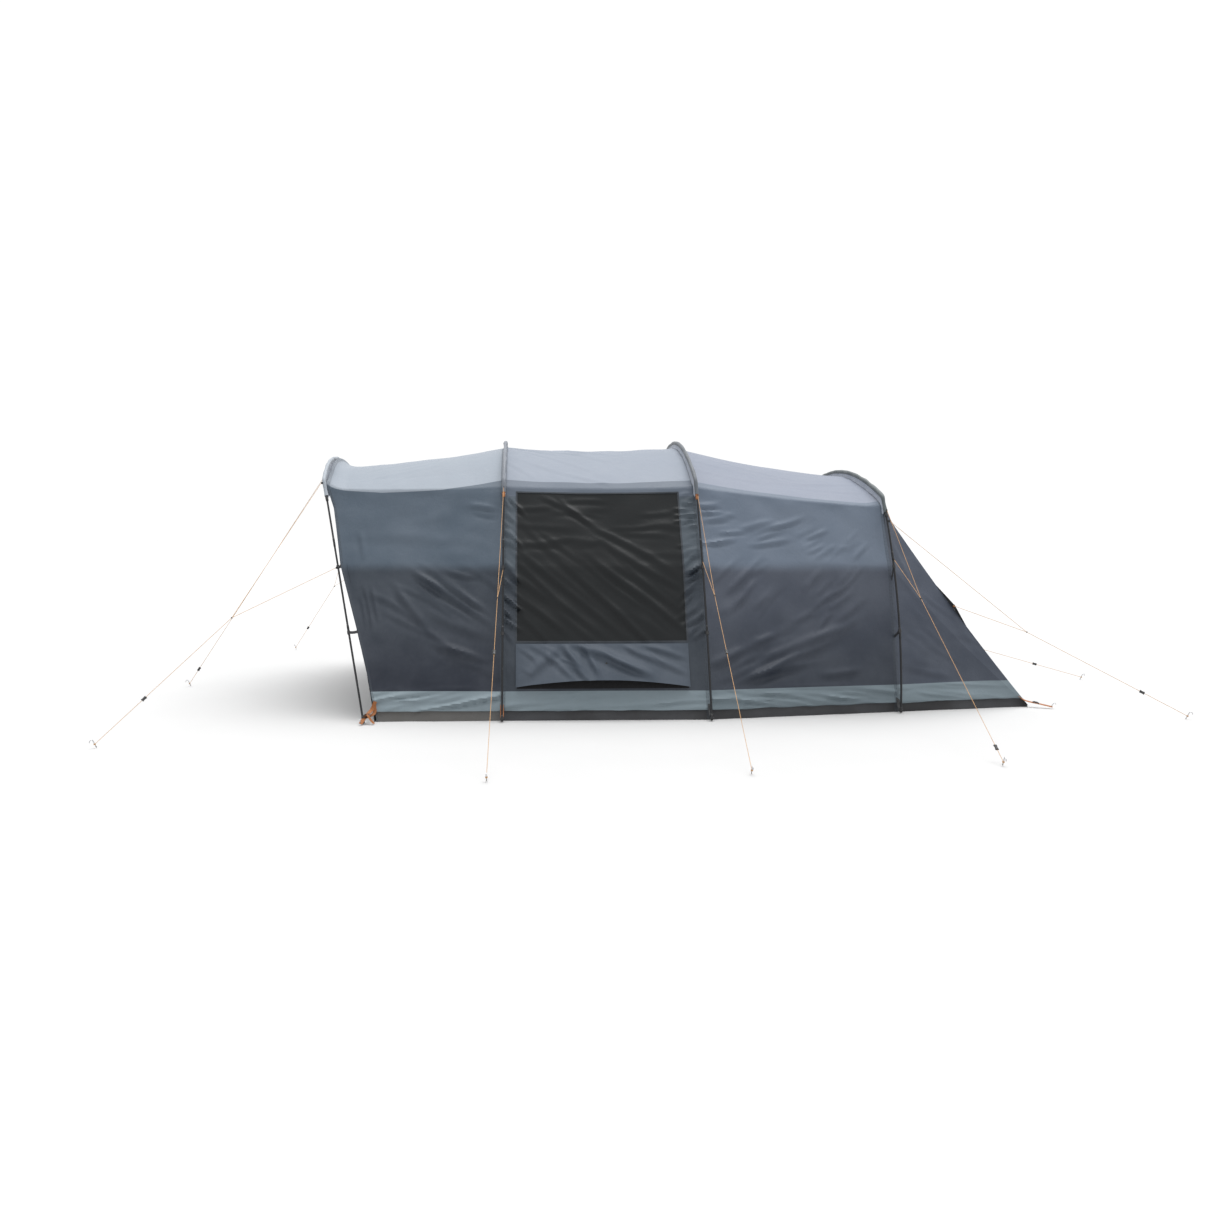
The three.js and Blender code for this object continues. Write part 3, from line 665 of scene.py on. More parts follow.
def cloth_piece(name, points, thickness, material, uv, attributes=None, keep=None, second=None, body="tent"):
    """A grid of points made into cloth: an outer and an inner face, joined by a rim."""
    rows, columns = points.shape[:2]
    number = np.arange(rows * columns).reshape(rows, columns)
    quads = np.stack([number[:-1, :-1], number[1:, :-1], number[1:, 1:], number[:-1, 1:]], -1)
    kept = np.ones(quads.shape[:2], bool) if keep is None else keep
    chosen = quads[kept]
    total = rows * columns
    inner = points - grid_normals(points) * thickness
    edges = np.concatenate([chosen[:, [k, (k + 1) % 4]] for k in range(4)])
    forward, backward = edges[:, 0] * total + edges[:, 1], edges[:, 1] * total + edges[:, 0]
    rim = edges[~np.isin(forward, backward)]
    rim_faces = np.stack([rim[:, 1], rim[:, 0], rim[:, 0] + total, rim[:, 1] + total], -1)
    faces = np.concatenate([chosen, chosen[:, ::-1] + total, rim_faces])
    used, faces = np.unique(faces, return_inverse=True)
    faces = faces.reshape(-1, 4)
    positions = np.concatenate([points.reshape(-1, 3), inner.reshape(-1, 3)])[used]
    data = bpy.data.meshes.new(name)
    data.vertices.add(len(positions))
    data.vertices.foreach_set("co", positions.ravel())
    data.loops.add(faces.size)
    data.loops.foreach_set("vertex_index", faces.ravel())
    data.polygons.add(len(faces))
    data.polygons.foreach_set("loop_start", np.arange(len(faces)) * 4)
    data.polygons.foreach_set("loop_total", np.full(len(faces), 4))
    data.materials.append(material)
    if second is not None:
        data.materials.append(second[0])
        marks = second[1][kept].astype(int)
        data.polygons.foreach_set("material_index", np.concatenate([marks, marks, np.zeros(len(rim), int)]))
    data.update(calc_edges=True)
    layer = data.uv_layers.new(name="cloth")
    spread = np.tile(uv.reshape(-1, 2), (2, 1))[used][faces.ravel()]
    layer.data.foreach_set("uv", spread.ravel())
    for key, values in (attributes or {}).items():
        mark(data, key, np.tile(values.ravel(), 2)[used])
    data.polygons.foreach_set("use_smooth", np.ones(len(faces), bool))
    data.set_sharp_from_angle(angle=math.radians(60))
    data.validate()
    piece = set_out(name, data)
    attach(piece, body)
    return piece


def measured(points):
    """Each grid point's distance in metres along the rows and up the columns: its UV."""
    along = np.concatenate([np.zeros((1, points.shape[1])),
                            np.cumsum(np.linalg.norm(np.diff(points, axis=0), axis=-1), 0)])
    across = np.concatenate([np.zeros((points.shape[0], 1)),
                             np.cumsum(np.linalg.norm(np.diff(points, axis=1), axis=-1), 1)], 1)
    middle = points.shape[0] // 2
    return np.stack([along, np.broadcast_to(across[middle], along.shape)], -1)


def surface_area(points):
    a, b = points[1:, :-1] - points[:-1, :-1], points[:-1, 1:] - points[:-1, :-1]
    return float(np.linalg.norm(np.cross(a, b), axis=-1).sum())


def middles(marks):
    return (marks[1:] + marks[:-1]) / 2


def stops(*parts):
    """Evenly spaced stops through the given marks, as (mark, count) pairs that end in a mark."""
    marks, counts = parts[::2], parts[1::2]
    runs = [np.linspace(a, b, n, endpoint=False) for a, b, n in zip(marks, marks[1:], counts)]
    return np.concatenate([*runs, [marks[-1]]])


def fly_material(name, roof, upper, lower, foot, lit_shoulder=None, valance=(0.150, 0.190, 0.212),
                 mud=(0.030, 0.030, 0.032)):
    material, shader, spot = new_material(name, Sheen_Weight=0.02, Sheen_Roughness=0.5,
                                          Specular_IOR_Level=0.21)
    height = spot.node("ShaderNodeAttribute", {"attribute_name": "up_wall"}, output=2)
    edge = spot.node("ShaderNodeAttribute", {"attribute_name": "to_seam"}, output=2)
    cloth = spot.node("ShaderNodeUVMap", {"uv_map": "cloth"})
    cloud = spot.noise(Scale=2.3, Detail=4.0, Roughness=0.6)
    rumple = spot.noise(Scale=16.0, Detail=5.0, Roughness=0.62, Distortion=0.6)
    warp = cloth.wave("X", Scale=170.0, Distortion=0.4)
    weft = cloth.wave("Y", Scale=150.0, Distortion=0.4)
    # Painted light and shade up the wall: the foot is painted darker towards the ground as painted shade,
    # the wall is painted lighter above the knee where it leans towards the sky, the living bay's shoulder
    # band is painted lighter as painted light, and the roof panel is painted much lighter as painted
    # skylight.
    colour = mix(height.step(0.2, 0.95), foot, lower)
    colour = mix(height.step(KNEE_HEIGHT - 0.06, KNEE_HEIGHT + 0.03), colour, upper)
    if lit_shoulder:
        colour = mix(height.step(1.50, 1.56), colour, lit_shoulder)
    colour = mix(height.step(1.998, 2.002), colour, roof)
    colour = mix(height.step(VALANCE_TOP - 0.0012, VALANCE_TOP + 0.0012, 1.0, 0.0), colour, valance)
    colour = mix(height.step(VALANCE_FOOT - 0.0012, VALANCE_FOOT + 0.0012, 1.0, 0.0), colour, mud)
    colour = mix(cloud.step(0.3, 0.7, 0.0, 0.05), colour, (0.42, 0.45, 0.5))
    stretch = spot.node("ShaderNodeSeparateXYZ", Vector=cloth, output=1)
    dash = (stretch * 250.0).maths("SINE").step(-0.2, 0.2)
    line_one = (edge - 0.006).maths("ABSOLUTE").step(0.0004, 0.001, 1.0, 0.0)
    line_two = (edge - 0.017).maths("ABSOLUTE").step(0.0004, 0.001, 1.0, 0.0)
    hem_line = (height - (VALANCE_TOP + 0.006)).maths("ABSOLUTE").step(0.0004, 0.001, 1.0, 0.0)
    thread = (line_one + line_two) * dash
    tape = edge.step(0.021, 0.0225, 1.0, 0.0)
    colour = mix(tape * 0.35, colour, (0.05, 0.06, 0.072))
    colour = mix(thread.maths("MINIMUM", 1.0) * 0.8, colour, (0.02, 0.022, 0.026))
    relief = (warp + weft) * 0.00012 + rumple * 0.0035 + tape * 0.0007 - (thread + hem_line) * 0.0006
    feed(shader, Base_Color=colour, Roughness=cloud.step(0.3, 0.7, 0.42, 0.56) + rumple * 0.08,
         Normal=relief.bump(0.75))
    return material


# Each bay takes its own copy of the one taffeta, with tones set lighter or darker by how light falls on that
# bay: painted light and painted shade. The roof colour is painted skylight, the rear bay is painted dark for
# the shade it stands in, the valance copies differ by painted light, and the front bay's mud flap is painted
# lighter for the light that comes in under its porch.
SKYLIT_ROOF_COLOUR = (0.185, 0.210, 0.252)
BAY_LOOKS = {
    "front": fly_material("front_taffeta", (0.215, 0.243, 0.280), (0.063, 0.085, 0.112),
                          (0.027, 0.035, 0.047), (0.015, 0.019, 0.029),
                          valance=(0.172, 0.214, 0.238), mud=(0.095, 0.092, 0.088)),
    "living": fly_material("living_taffeta", SKYLIT_ROOF_COLOUR, (0.050, 0.065, 0.080), (0.027, 0.035, 0.046),
                           (0.024, 0.031, 0.041), lit_shoulder=(0.083, 0.102, 0.132)),
    "bedroom": fly_material("bedroom_taffeta", (0.170, 0.190, 0.238), (0.100, 0.126, 0.166),
                            (0.053, 0.062, 0.083), (0.023, 0.029, 0.041), valance=(0.125, 0.160, 0.180)),
    "rear": fly_material("rear_taffeta", SKYLIT_ROOF_COLOUR, (0.052, 0.062, 0.085), (0.052, 0.062, 0.085),
                         (0.044, 0.053, 0.072)),
}
vent_mesh = plastic_material("vent_mesh_black", (0.006, 0.006, 0.007), 0.9)

V_LEG = stops(0, 3, 0.037, 3, 0.0405, 11, 0.118, 1, VENT_UP[0], 20, VENT_UP[1], 1, WINDOW_UP[0], 76,
              WINDOW_UP[1], 3, 1.0)
V_ALL = np.concatenate([V_LEG[:-1], stops(1.0, 110, 2.0)[:-1], (3 - V_LEG)[::-1]])
S_BAY = {"front": stops(0, 92, 1.0), "living": stops(0, 8, WINDOW_S[0], 82, WINDOW_S[1], 10, 1.0),
         "bedroom": stops(0, 98, 1.0), "rear": stops(0, 84, 1.0)}
for bay, s_stops in S_BAY.items():
    points, height = bay_surface(bay, s_stops, V_ALL)
    uv = measured(points)
    length = uv[-1, :, 0].mean()
    to_seam = np.broadcast_to(np.minimum(s_stops, 1 - s_stops)[:, None] * length, height.shape)
    s_mid, v_mid = middles(s_stops), middles(V_ALL)
    inside_s = ((s_mid > WINDOW_S[0]) & (s_mid < WINDOW_S[1]))[:, None]
    up_mid = up_leg(v_mid)[None, :]
    keep = second = None
    if bay == "living":
        keep = ~(inside_s & (up_mid > WINDOW_UP[0]) & (up_mid < WINDOW_UP[1]))
        second = (vent_mesh, inside_s & (up_mid > VENT_UP[0]) & (up_mid < VENT_UP[1] - 0.008))
    piece = cloth_piece("fly_%s_cloth" % bay, points, CLOTH, BAY_LOOKS[bay], uv,
                        dict(up_wall=height, to_seam=to_seam), keep, second)
    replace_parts(piece, "fly_rear_end" if bay == "rear" else "fly_%s_bay" % bay)
    area = surface_area(points)
    if bay == "living":
        area -= 2 * surface_area(bay_surface(bay, stops(WINDOW_S[0], 10, WINDOW_S[1]),
                                             stops(WINDOW_UP[0], 10, WINDOW_UP[1]))[0])


# ---- Windows, vent flaps and their fittings -----------------------------------------------------
# Tinted film is welded behind a hole in each long wall of the living bay. Below it a cloth flap,
# stiffened along its foot, stands clear of a mesh vent and swings up on its top seam.
def film_material():
    material, shader, spot = new_material("tinted_window_film", Specular_IOR_Level=0.24)
    haze = spot.noise(Scale=3.0, Detail=5.0, Roughness=0.6)
    ripple = spot.noise(Scale=22.0, Detail=4.0, Distortion=0.8)
    dust = spot.noise(Scale=180.0, Detail=3.0)
    feed(shader, Base_Color=mix(haze, (0.005, 0.007, 0.008), (0.008, 0.009, 0.010)),
         Roughness=haze.step(0.3, 0.7, 0.34, 0.46) + dust * 0.08,
         Normal=(ripple * 0.0025).bump(0.6))
    return material


film_look = film_material()
# The flap's copy of the taffeta is painted lighter than the wall beside it, as painted light for its upward
# tilt.
flap_look = fly_material("flap_taffeta", (0.25, 0.28, 0.335), (0.108, 0.138, 0.178), (0.046, 0.059, 0.078),
                         (0.046, 0.059, 0.078))
binding_look = fly_material("window_binding", (0.1, 0.1, 0.1), (0.030, 0.036, 0.044), (0.026, 0.031, 0.038),
                            (0.026, 0.031, 0.038))

FLAP_FOLDS = [(0.42, 0.50, 0.56, 0.30, 0.022, 0.012), (0.50, 0.505, 1.0, 0.31, 0.026, 0.013),
              (0.66, 0.47, 0.96, 0.33, 0.020, 0.010), (0.56, 0.49, 0.66, 0.31, 0.020, 0.010),
              (0.16, 0.29, 0.36, 0.46, 0.030, 0.008), (0.84, 0.49, 1.05, 0.40, 0.018, 0.007),
              (0.98, 0.49, 1.25, 0.41, 0.018, 0.007), (1.03, 0.40, 1.25, 0.31, 0.020, 0.006),
              (0.30, 0.44, 0.46, 0.30, 0.018, 0.006)]


def wall_stops(up_stops, side):
    """Stops up the near wall, or the same ones up the far wall."""
    return up_stops if side < 0 else (3 - up_stops)[::-1]


def plain_marks(shape, height=0.5):
    """Attributes for a piece of one colour, with no seam near."""
    return dict(up_wall=np.full(shape[:2], height), to_seam=np.full(shape[:2], 0.5))


FLAP_FOOT = 0.136


def vent_flap(side):
    """The flap's cloth, hinged along its top seam and propped out most in its middle."""
    up_stops = np.linspace(FLAP_FOOT, VENT_UP[1] - 0.0045, 30)
    s_stops = np.linspace(0.064, 0.911, 120)
    v_stops = wall_stops(up_stops, side)
    points, height = bay_surface("living", s_stops, v_stops, creased=False)
    down = (VENT_UP[1] - up_leg(v_stops)) / (VENT_UP[1] - FLAP_FOOT)
    share = (s_stops - s_stops[0]) / (s_stops[-1] - s_stops[0])
    bow = np.sin(np.pi * share) ** 0.45
    proud = 0.005 + 0.055 * down[None, :] * (0.25 + 0.75 * bow[:, None])
    points[..., 1] += side * proud
    points[..., 2] += 0.054 * down[None, :] * np.sin(np.pi * share)[:, None] ** 0.8
    x, z = points[..., 0] + CENTRE_X, points[..., 2]
    folds = crease_field(x, z, FLAP_FOLDS, [(0.15, 1.25, 0.3, 0.48, -50, -20, 0.08, 0.2, 0.012, 0.003, 18)],
                         50 + side)
    points[..., 1] += side * 1.8 * folds * np.clip(down[None, :] / 0.12, 0, 1)
    return points


for side, word in ((-1, "near"), (1, "far")):
    s_stops = np.linspace(WINDOW_S[0] - 0.009, WINDOW_S[1] + 0.009, 104)
    up_stops = np.linspace(WINDOW_UP[0] - 0.006, WINDOW_UP[1] + 0.006, 96)
    v_stops = wall_stops(up_stops, side)
    points, height = bay_surface("living", s_stops, v_stops, lift=-0.003)
    uv = measured(points)
    window = cloth_piece(word + "_window_film", points, 0.0006, film_look, uv)
    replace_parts(window, word + "_window")

    s_stops = stops(WINDOW_S[0] - 0.008, 3, WINDOW_S[0], 100, WINDOW_S[1], 3, WINDOW_S[1] + 0.008)
    up_stops = stops(WINDOW_UP[0] - 0.006, 3, WINDOW_UP[0], 90, WINDOW_UP[1], 3, WINDOW_UP[1] + 0.006)
    v_stops = wall_stops(up_stops, side)
    points, height = bay_surface("living", s_stops, v_stops, lift=0.0014)
    s_mid, up_mid = middles(s_stops), middles(up_leg(v_stops))
    ring = ~(((s_mid > WINDOW_S[0]) & (s_mid < WINDOW_S[1]))[:, None]
             & ((up_mid > WINDOW_UP[0]) & (up_mid < WINDOW_UP[1]))[None, :])
    binding = cloth_piece(word + "_window_binding", points, 0.001, binding_look, measured(points),
                          plain_marks(height.shape), ring)

    points = vent_flap(side)
    uv = measured(points)
    flap = cloth_piece(word + "_flap_cloth", points, 0.0015, flap_look, uv, plain_marks(points.shape),
                       body=word + "_vent_flap")
    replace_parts(flap, word + "_vent_flap")

    # A turned stud near the flap's middle presses into a socket to hold the flap shut.
    row, column = 62, 13
    place_of_stud = Vector(points[row, column])
    face = Vector(grid_normals(points)[row, column])
    rings = [(0.0, 0.0075), (0.0012, 0.0078), (0.0024, 0.0068), (0.0028, 0.0045), (0.0022, 0.003),
             (0.0034, 0.0015)]
    path = [place_of_stud + face * h for h, _ in rings]
    turn = Vector((0, 0, 1)).rotation_difference(face).to_matrix()
    vertices = [place_of_stud
                + turn @ Vector((r * math.cos(k * math.pi / 12), r * math.sin(k * math.pi / 12), h))
                for h, r in rings for k in range(24)]
    mesh_piece(word + "_flap_stud", vertices, rings_to_faces(len(rings), 24), black_plastic,
               body=word + "_vent_flap", slot="runner_plastic")


# ---- Pole sleeves -------------------------------------------------------------------------------
# Each hoop's roof section runs through a folded sleeve of heavier cloth, sewn into the bay seam.
# The cloth pinches in under the tube and puckers along its length. Webbing ends the sleeve.
def sleeve_material(name, dark, light):
    material, shader, spot = new_material(name, Sheen_Weight=0.15, Sheen_Roughness=0.5)
    weave = spot.noise(Scale=700.0, Detail=2.0)
    pucker = spot.noise(Scale=38.0, Detail=4.0, Distortion=1.0)
    cloud = spot.noise(Scale=6.0, Detail=4.0)
    feed(shader, Base_Color=mix(cloud, dark, light), Roughness=cloud.step(0.3, 0.7, 0.5, 0.66),
         Normal=(weave * 0.0002 + pucker * 0.003).bump(0.7))
    return material


SLEEVE_SIDE = [(0.0095, 0.0115), (0.0130, 0.004), (0.0125, -0.005), (0.0095, -0.015), (0.0085, -0.026),
               (0.010, -0.038), (0.012, -0.047)]
SLEEVE_OUTLINE = [*((-across, rise) for across, rise in reversed(SLEEVE_SIDE)), (0.0, 0.0150), *SLEEVE_SIDE]
SLEEVE_DEPTH, PINCH_DEPTH, ROOF_CLOTH_DEPTH = 0.047, 0.015, 0.032
SLEEVE_HALF = 0.012
SLEEVE_SPAN = {"front": 0.925, "second": 0.945, "third": 0.935, "rear": 0.925}
# One sleeve cloth in lit and shaded copies: the front sleeve is painted pale as a painted highlight, the
# second lighter and the third and rear darker by how light falls on each as painted light and shade, and the
# sleeve foot is painted lighter to make up for the shade it stands in.
sleeve_looks = {
    "front": sleeve_material("front_sleeve_cloth", (0.215, 0.24, 0.275), (0.27, 0.30, 0.335)),
    "second": sleeve_material("second_sleeve_cloth", (0.075, 0.086, 0.105), (0.14, 0.158, 0.19)),
    "third": sleeve_material("third_sleeve_cloth", (0.034, 0.041, 0.047), (0.085, 0.10, 0.12)),
    "foot": sleeve_material("sleeve_foot_painted_light", (0.26, 0.29, 0.345), (0.31, 0.34, 0.40)),
    "rear": sleeve_material("rear_sleeve_cloth", (0.036, 0.047, 0.050), (0.075, 0.092, 0.10)),
}


def webbing_material(name, colour, thread):
    material, shader, spot = new_material(name, Roughness=0.75)
    twill = spot.wave("DIAGONAL", Scale=260.0, Distortion=0.5)
    fibre = spot.noise(Scale=500.0, Detail=2.0)
    feed(shader, Base_Color=mix(twill.step(0.2, 0.8) * 0.45 + fibre * 0.2, colour, thread),
         Normal=twill.bump(0.6, 0.0006))
    return material


orange_webbing = webbing_material("orange_webbing", (0.33, 0.125, 0.040), (0.21, 0.075, 0.024))
black_webbing = webbing_material("black_webbing", (0.017, 0.018, 0.020), (0.045, 0.047, 0.05))


def strap_piece(name, path, across, width, material, thickness=0.0016, body="tent", slot="sleeve_fabric"):
    """A flat band along a path: across is its width's direction, one for all or one per point."""
    path = [Vector(p) for p in path]
    ways = across if isinstance(across, list) else [across] * len(path)
    vertices = []
    for i, point in enumerate(path):
        tangent = (path[min(i + 1, len(path) - 1)] - path[max(i - 1, 0)]).normalized()
        side = Vector(ways[i])
        side = (side - tangent * side.dot(tangent)).normalized()
        face = tangent.cross(side)
        w, t = width / 2, thickness / 2
        vertices += [point + side * a + face * b for a, b in
                     ((-w, -t * 0.5), (-w * 0.93, -t), (w * 0.93, -t), (w, -t * 0.5),
                      (w, t * 0.5), (w * 0.93, t), (-w * 0.93, t), (-w, t * 0.5))]
    return mesh_piece(name, vertices, rings_to_faces(len(path), 8), material, body=body, slot=slot,
                      smooth=False)


for name, hoop in HOOPS.items():
    first = SLEEVE_SPAN[name]
    v_stops = np.linspace(first, 3 - first, 300)
    centre = rounded(on_hoop(hoop, v_stops), 6)
    outer = rounded(on_hoop(hoop, v_stops, outward=0.01), 6)
    outward = outer - centre
    outward /= np.linalg.norm(outward, axis=-1, keepdims=True)
    lean = hoop["lean"]
    forward = np.array([-math.cos(lean), 0, -math.sin(lean)])
    random = np.random.default_rng(len(name))
    wave = np.zeros((len(v_stops), len(SLEEVE_OUTLINE)))
    for _ in range(34):
        size, turn, lag = random.uniform(8, 46), random.uniform(-0.5, 0.5), random.uniform(0, 6.3)
        pucker = np.sin(size * v_stops[:, None] * 2 + turn * np.arange(len(SLEEVE_OUTLINE)) + lag)
        wave += random.uniform(0.0001, 0.0005) * pucker
    ends = np.clip(np.minimum(v_stops - first, 3 - first - v_stops) / 0.012, 0.55, 1)
    outline = np.array(SLEEVE_OUTLINE)
    seam = on_hoop(SECTIONS[name], np.linspace(0.8, 2.2, 700))
    gap = np.linalg.norm((centre[:, None] - seam[None])[..., 1:], axis=-1).min(axis=1)
    if name == "rear":
        gap -= rear_rim(v_stops)
    reach = (gap + 0.003 - PINCH_DEPTH) / (SLEEVE_DEPTH - PINCH_DEPTH)
    across = outline[None, :, 0] * (1 + wave / SLEEVE_HALF)
    depth = outline[None, :, 1]
    low = depth < -PINCH_DEPTH - 0.001
    drawn = -PINCH_DEPTH + (depth + PINCH_DEPTH) * reach[:, None] * ends[:, None]
    rise = np.where(low, drawn, depth) + wave * 0.6
    points = centre[:, None] + forward * across[..., None] + outward[:, None] * rise[..., None]
    # The sleeve's foot is the roof cloth, folded up to the seam under the pole.
    below = outline[1:, 1] + outline[:-1, 1] < -ROOF_CLOTH_DEPTH
    roof_foot = np.broadcast_to(below[None, :], (len(v_stops) - 1, len(outline) - 1))
    sleeve = cloth_piece(name + "_sleeve_cloth", points, 0.001, sleeve_looks[name], measured(points),
                         second=(sleeve_looks["foot"], roof_foot))
    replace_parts(sleeve, name + "_pole_sleeve")
    # A webbing cuff grips the pole where the sleeve ends.
    for word, v, way in (("near", first, -1), ("far", 3 - first, 1)):
        cuff = on_hoop(hoop, np.linspace(v + way * 0.022, v - way * 0.006, 6))
        tube_piece("%s_sleeve_cuff_%s" % (name, word), cuff,
                   [0.0095, 0.0105, 0.0108, 0.0112, 0.0122, 0.0125],
                   black_webbing if name in ("front", "rear") else orange_webbing, sides=18,
                   slot="sleeve_fabric")


# ---- Clips, straps and foot webbing ---------------------------------------------------------------
# Hooked plastic clips hold the walls to the poles at the knee and lower down. Webbing ties each
# pole foot, the front corners and the rear corners to the hem.
def hoop_v(hoop, z):
    return z / (hoop["shoulder"][1] * math.cos(hoop["lean"]))


def pole_spot(hoop, v, side):
    """A point on the near or the far leg of a hoop."""
    return Vector(on_hoop(hoop, np.array([v if side < 0 else 3 - v]))[0])


def wall_edge(name, z, side):
    """The wall's seam beside a hoop, at a height."""
    bay = next(bay for bay, (first, _) in BAYS.items() if first == name)
    column = np.array([z / 1.6, z / 1.6 + 0.002])
    v = column if side < 0 else 3 - column[::-1]
    points, _ = bay_surface(bay, np.array([0.0, 0.01]), v, creased=False)
    heights = points[0, :, 2]
    k = int(np.argmin(np.abs(heights - z)))
    return Vector(points[0, k])


def clip_piece(tag, name, z, side, material=None, width=0.02):
    hoop = HOOPS[name]
    v = hoop_v(hoop, z)
    spot, above = pole_spot(hoop, v, side), pole_spot(hoop, v + 0.01, side)
    axis = (above - spot).normalized()
    edge = wall_edge(name, z, side)
    toward = edge - spot
    toward = (toward - axis * toward.dot(axis)).normalized()
    across = axis.cross(toward)
    vertices = []
    for i in range(15):
        angle = math.pi * (0.22 + 1.56 * i / 14)
        out = toward * math.cos(angle) + across * math.sin(angle)
        for radius, h in ((0.0078, -0.011), (0.0112, -0.011), (0.0112, 0.011), (0.0078, 0.011)):
            vertices.append(spot + out * radius + axis * h)
    mesh_piece("%s_%s_hook" % (tag, name), vertices, rings_to_faces(15, 4), black_plastic,
               slot="runner_plastic", smooth=False)
    start = spot + toward * 0.0105
    strap_piece("%s_%s_strap" % (tag, name),
                smooth_path([start, start.lerp(edge, 0.5) - axis * 0.003, edge + toward * 0.006], 6),
                axis, width, material or black_webbing)


for side, word in ((-1, "near"), (1, "far")):
    for name in HOOPS:
        clip_piece("clip_high_" + word, name, KNEE_HEIGHT - 0.01, side,
                   orange_webbing if name in ("second", "third") else None)
        clip_piece("clip_low_" + word, name, 0.575, side)
        hoop = HOOPS[name]
        foot = pole_spot(hoop, 0.012, side)
        hem = wall_edge(name, 0.075, side)
        webbing = orange_webbing if name in ("front", "second") else black_webbing
        strap_piece("foot_strap_%s_%s" % (name, word),
                    smooth_path([hem + Vector((0, -side * 0.004, 0.03)),
                                 hem + Vector((0, side * 0.012, -0.02)),
                                 foot + Vector((0, -side * 0.014, 0.012))], 9), (1, 0, 0), 0.024, webbing)
        loop_piece("foot_ring_%s_%s" % (name, word), foot + Vector((0, 0, 0.006)), (0, 0, 1),
                   0.0115, 0.0022, black_plastic, slot="runner_plastic")


def peg_in(tag, foot, away):
    """A small wire peg like the guy pegs, at a strap's end."""
    away = Vector((away[0], away[1], 0)).normalized()
    profile = [(-0.008, 0.003), (0, 0.014), (0.008, 0.026), (0.014, 0.030), (0.020, 0.026), (0.021, 0.018)]
    path = smooth_path([Vector(foot) + away * x + Vector((0, 0, z)) for x, z in profile], 18)
    tube_piece(tag + "_peg", path, 0.0025, peg_steel, sides=12, slot="peg_steel")


def buckle_piece(tag, centre, along, across, width=0.028, length=0.034):
    """A ladder buckle: a moulded frame with a middle bar that the webbing is threaded round."""
    centre, along, across = Vector(centre), Vector(along).normalized(), Vector(across).normalized()
    face = along.cross(across)
    bars = [(-1, 0.0032), (0, 0.0026), (1, 0.0032)]
    for number, (share, radius) in enumerate(bars):
        spot = centre + along * share * length / 2
        tube_piece("%s_buckle_bar_%d" % (tag, number),
                   [spot - across * width / 2, spot, spot + across * width / 2],
                   radius, black_plastic, sides=12, slot="runner_plastic")
    for number, share in enumerate((-1, 1)):
        spot = centre + across * share * width / 2
        path = [spot - along * length * 0.56, spot - along * length * 0.2 + face * 0.002,
                spot + along * length * 0.2 + face * 0.002, spot + along * length * 0.56]
        tube_piece("%s_buckle_side_%d" % (tag, number), path, [0.0024, 0.0034, 0.0034, 0.0024],
                   black_plastic, sides=12, slot="runner_plastic")


for side, word in ((-1, "near"), (1, "far")):
    # Front corner: the hem's orange webbing doubles back through a buckle to the pole foot's peg.
    hem = place((-0.872, side * 1.447, 0.085))
    corner_foot = place((-0.93, side * 1.56, 0.012))
    middle = hem.lerp(corner_foot, 0.55) + Vector((0, 0, 0.006))
    strap_piece("front_corner_strap_" + word,
                smooth_path([hem + Vector((0.02, 0, 0.05)), hem, middle, corner_foot], 14),
                (1, 0.2, 0), 0.025, orange_webbing)
    strap_piece("front_corner_tail_" + word,
                smooth_path([middle, middle + Vector((0.012, side * 0.014, 0.012)),
                             middle + Vector((0.035, side * 0.02, -0.018)),
                             middle + Vector((0.06, side * 0.03, -0.043))], 14), (0.4, 0.9, 0), 0.024,
                orange_webbing)
    buckle_piece("front_corner_" + word, middle + Vector((0, side * 0.003, 0.003)), corner_foot - hem,
                 (1, 0.2, 0))
    peg_in("front_corner_" + word, corner_foot, (-0.2, side, 0))
    # Rear corner: the same webbing runs straight back from the tail to its own peg.
    hem = place((3.79, side * 1.062, 0.045))
    corner_foot = place((3.943, side * 1.138, 0.014))
    strap_piece("rear_corner_strap_" + word,
                smooth_path([hem + Vector((-0.05, -side * 0.01, 0.035)), hem, hem.lerp(corner_foot, 0.5),
                             corner_foot], 14), (0.3, -side * 0.9, 0.25), 0.025, orange_webbing)
    buckle_piece("rear_corner_" + word, hem.lerp(corner_foot, 0.38) + Vector((0, 0, 0.004)),
                 corner_foot - hem, (0.4, -side * 0.9, 0))
    peg_in("rear_corner_" + word, corner_foot, (1, side * 0.4, 0))
    # A black gusset on the rear ridge gathers the pull of the rear corner's upper branch.
    points, _ = bay_surface("rear", np.array([0.38, 0.43, 0.48, 0.53, 0.58]),
                            np.array([0.985, 1.0] if side < 0 else [2.0, 2.015]),
                            creased=False)
    ridge = [Vector(p) for p in points[:, 1 if side < 0 else 0]]
    tip = place((3.28, side * 1.052, 0.73)) + Vector((0.012, side * 0.004, 0))
    grid = np.array([[list(r.lerp(tip, t)) for t in np.linspace(0, 0.9, 9)] for r in ridge])
    if side > 0:
        grid = grid[::-1]
    gusset = cloth_piece("rear_gusset_" + word, grid, 0.0014, binding_look, measured(grid),
                         plain_marks(grid.shape, 0.02))
    surface_area(grid)
    strap_piece("rear_gusset_loop_" + word,
                smooth_path([tip.lerp(ridge[2], 0.6), tip.lerp(ridge[2], 0.2), tip], 6),
                (0, 0, 1), 0.018, orange_webbing)

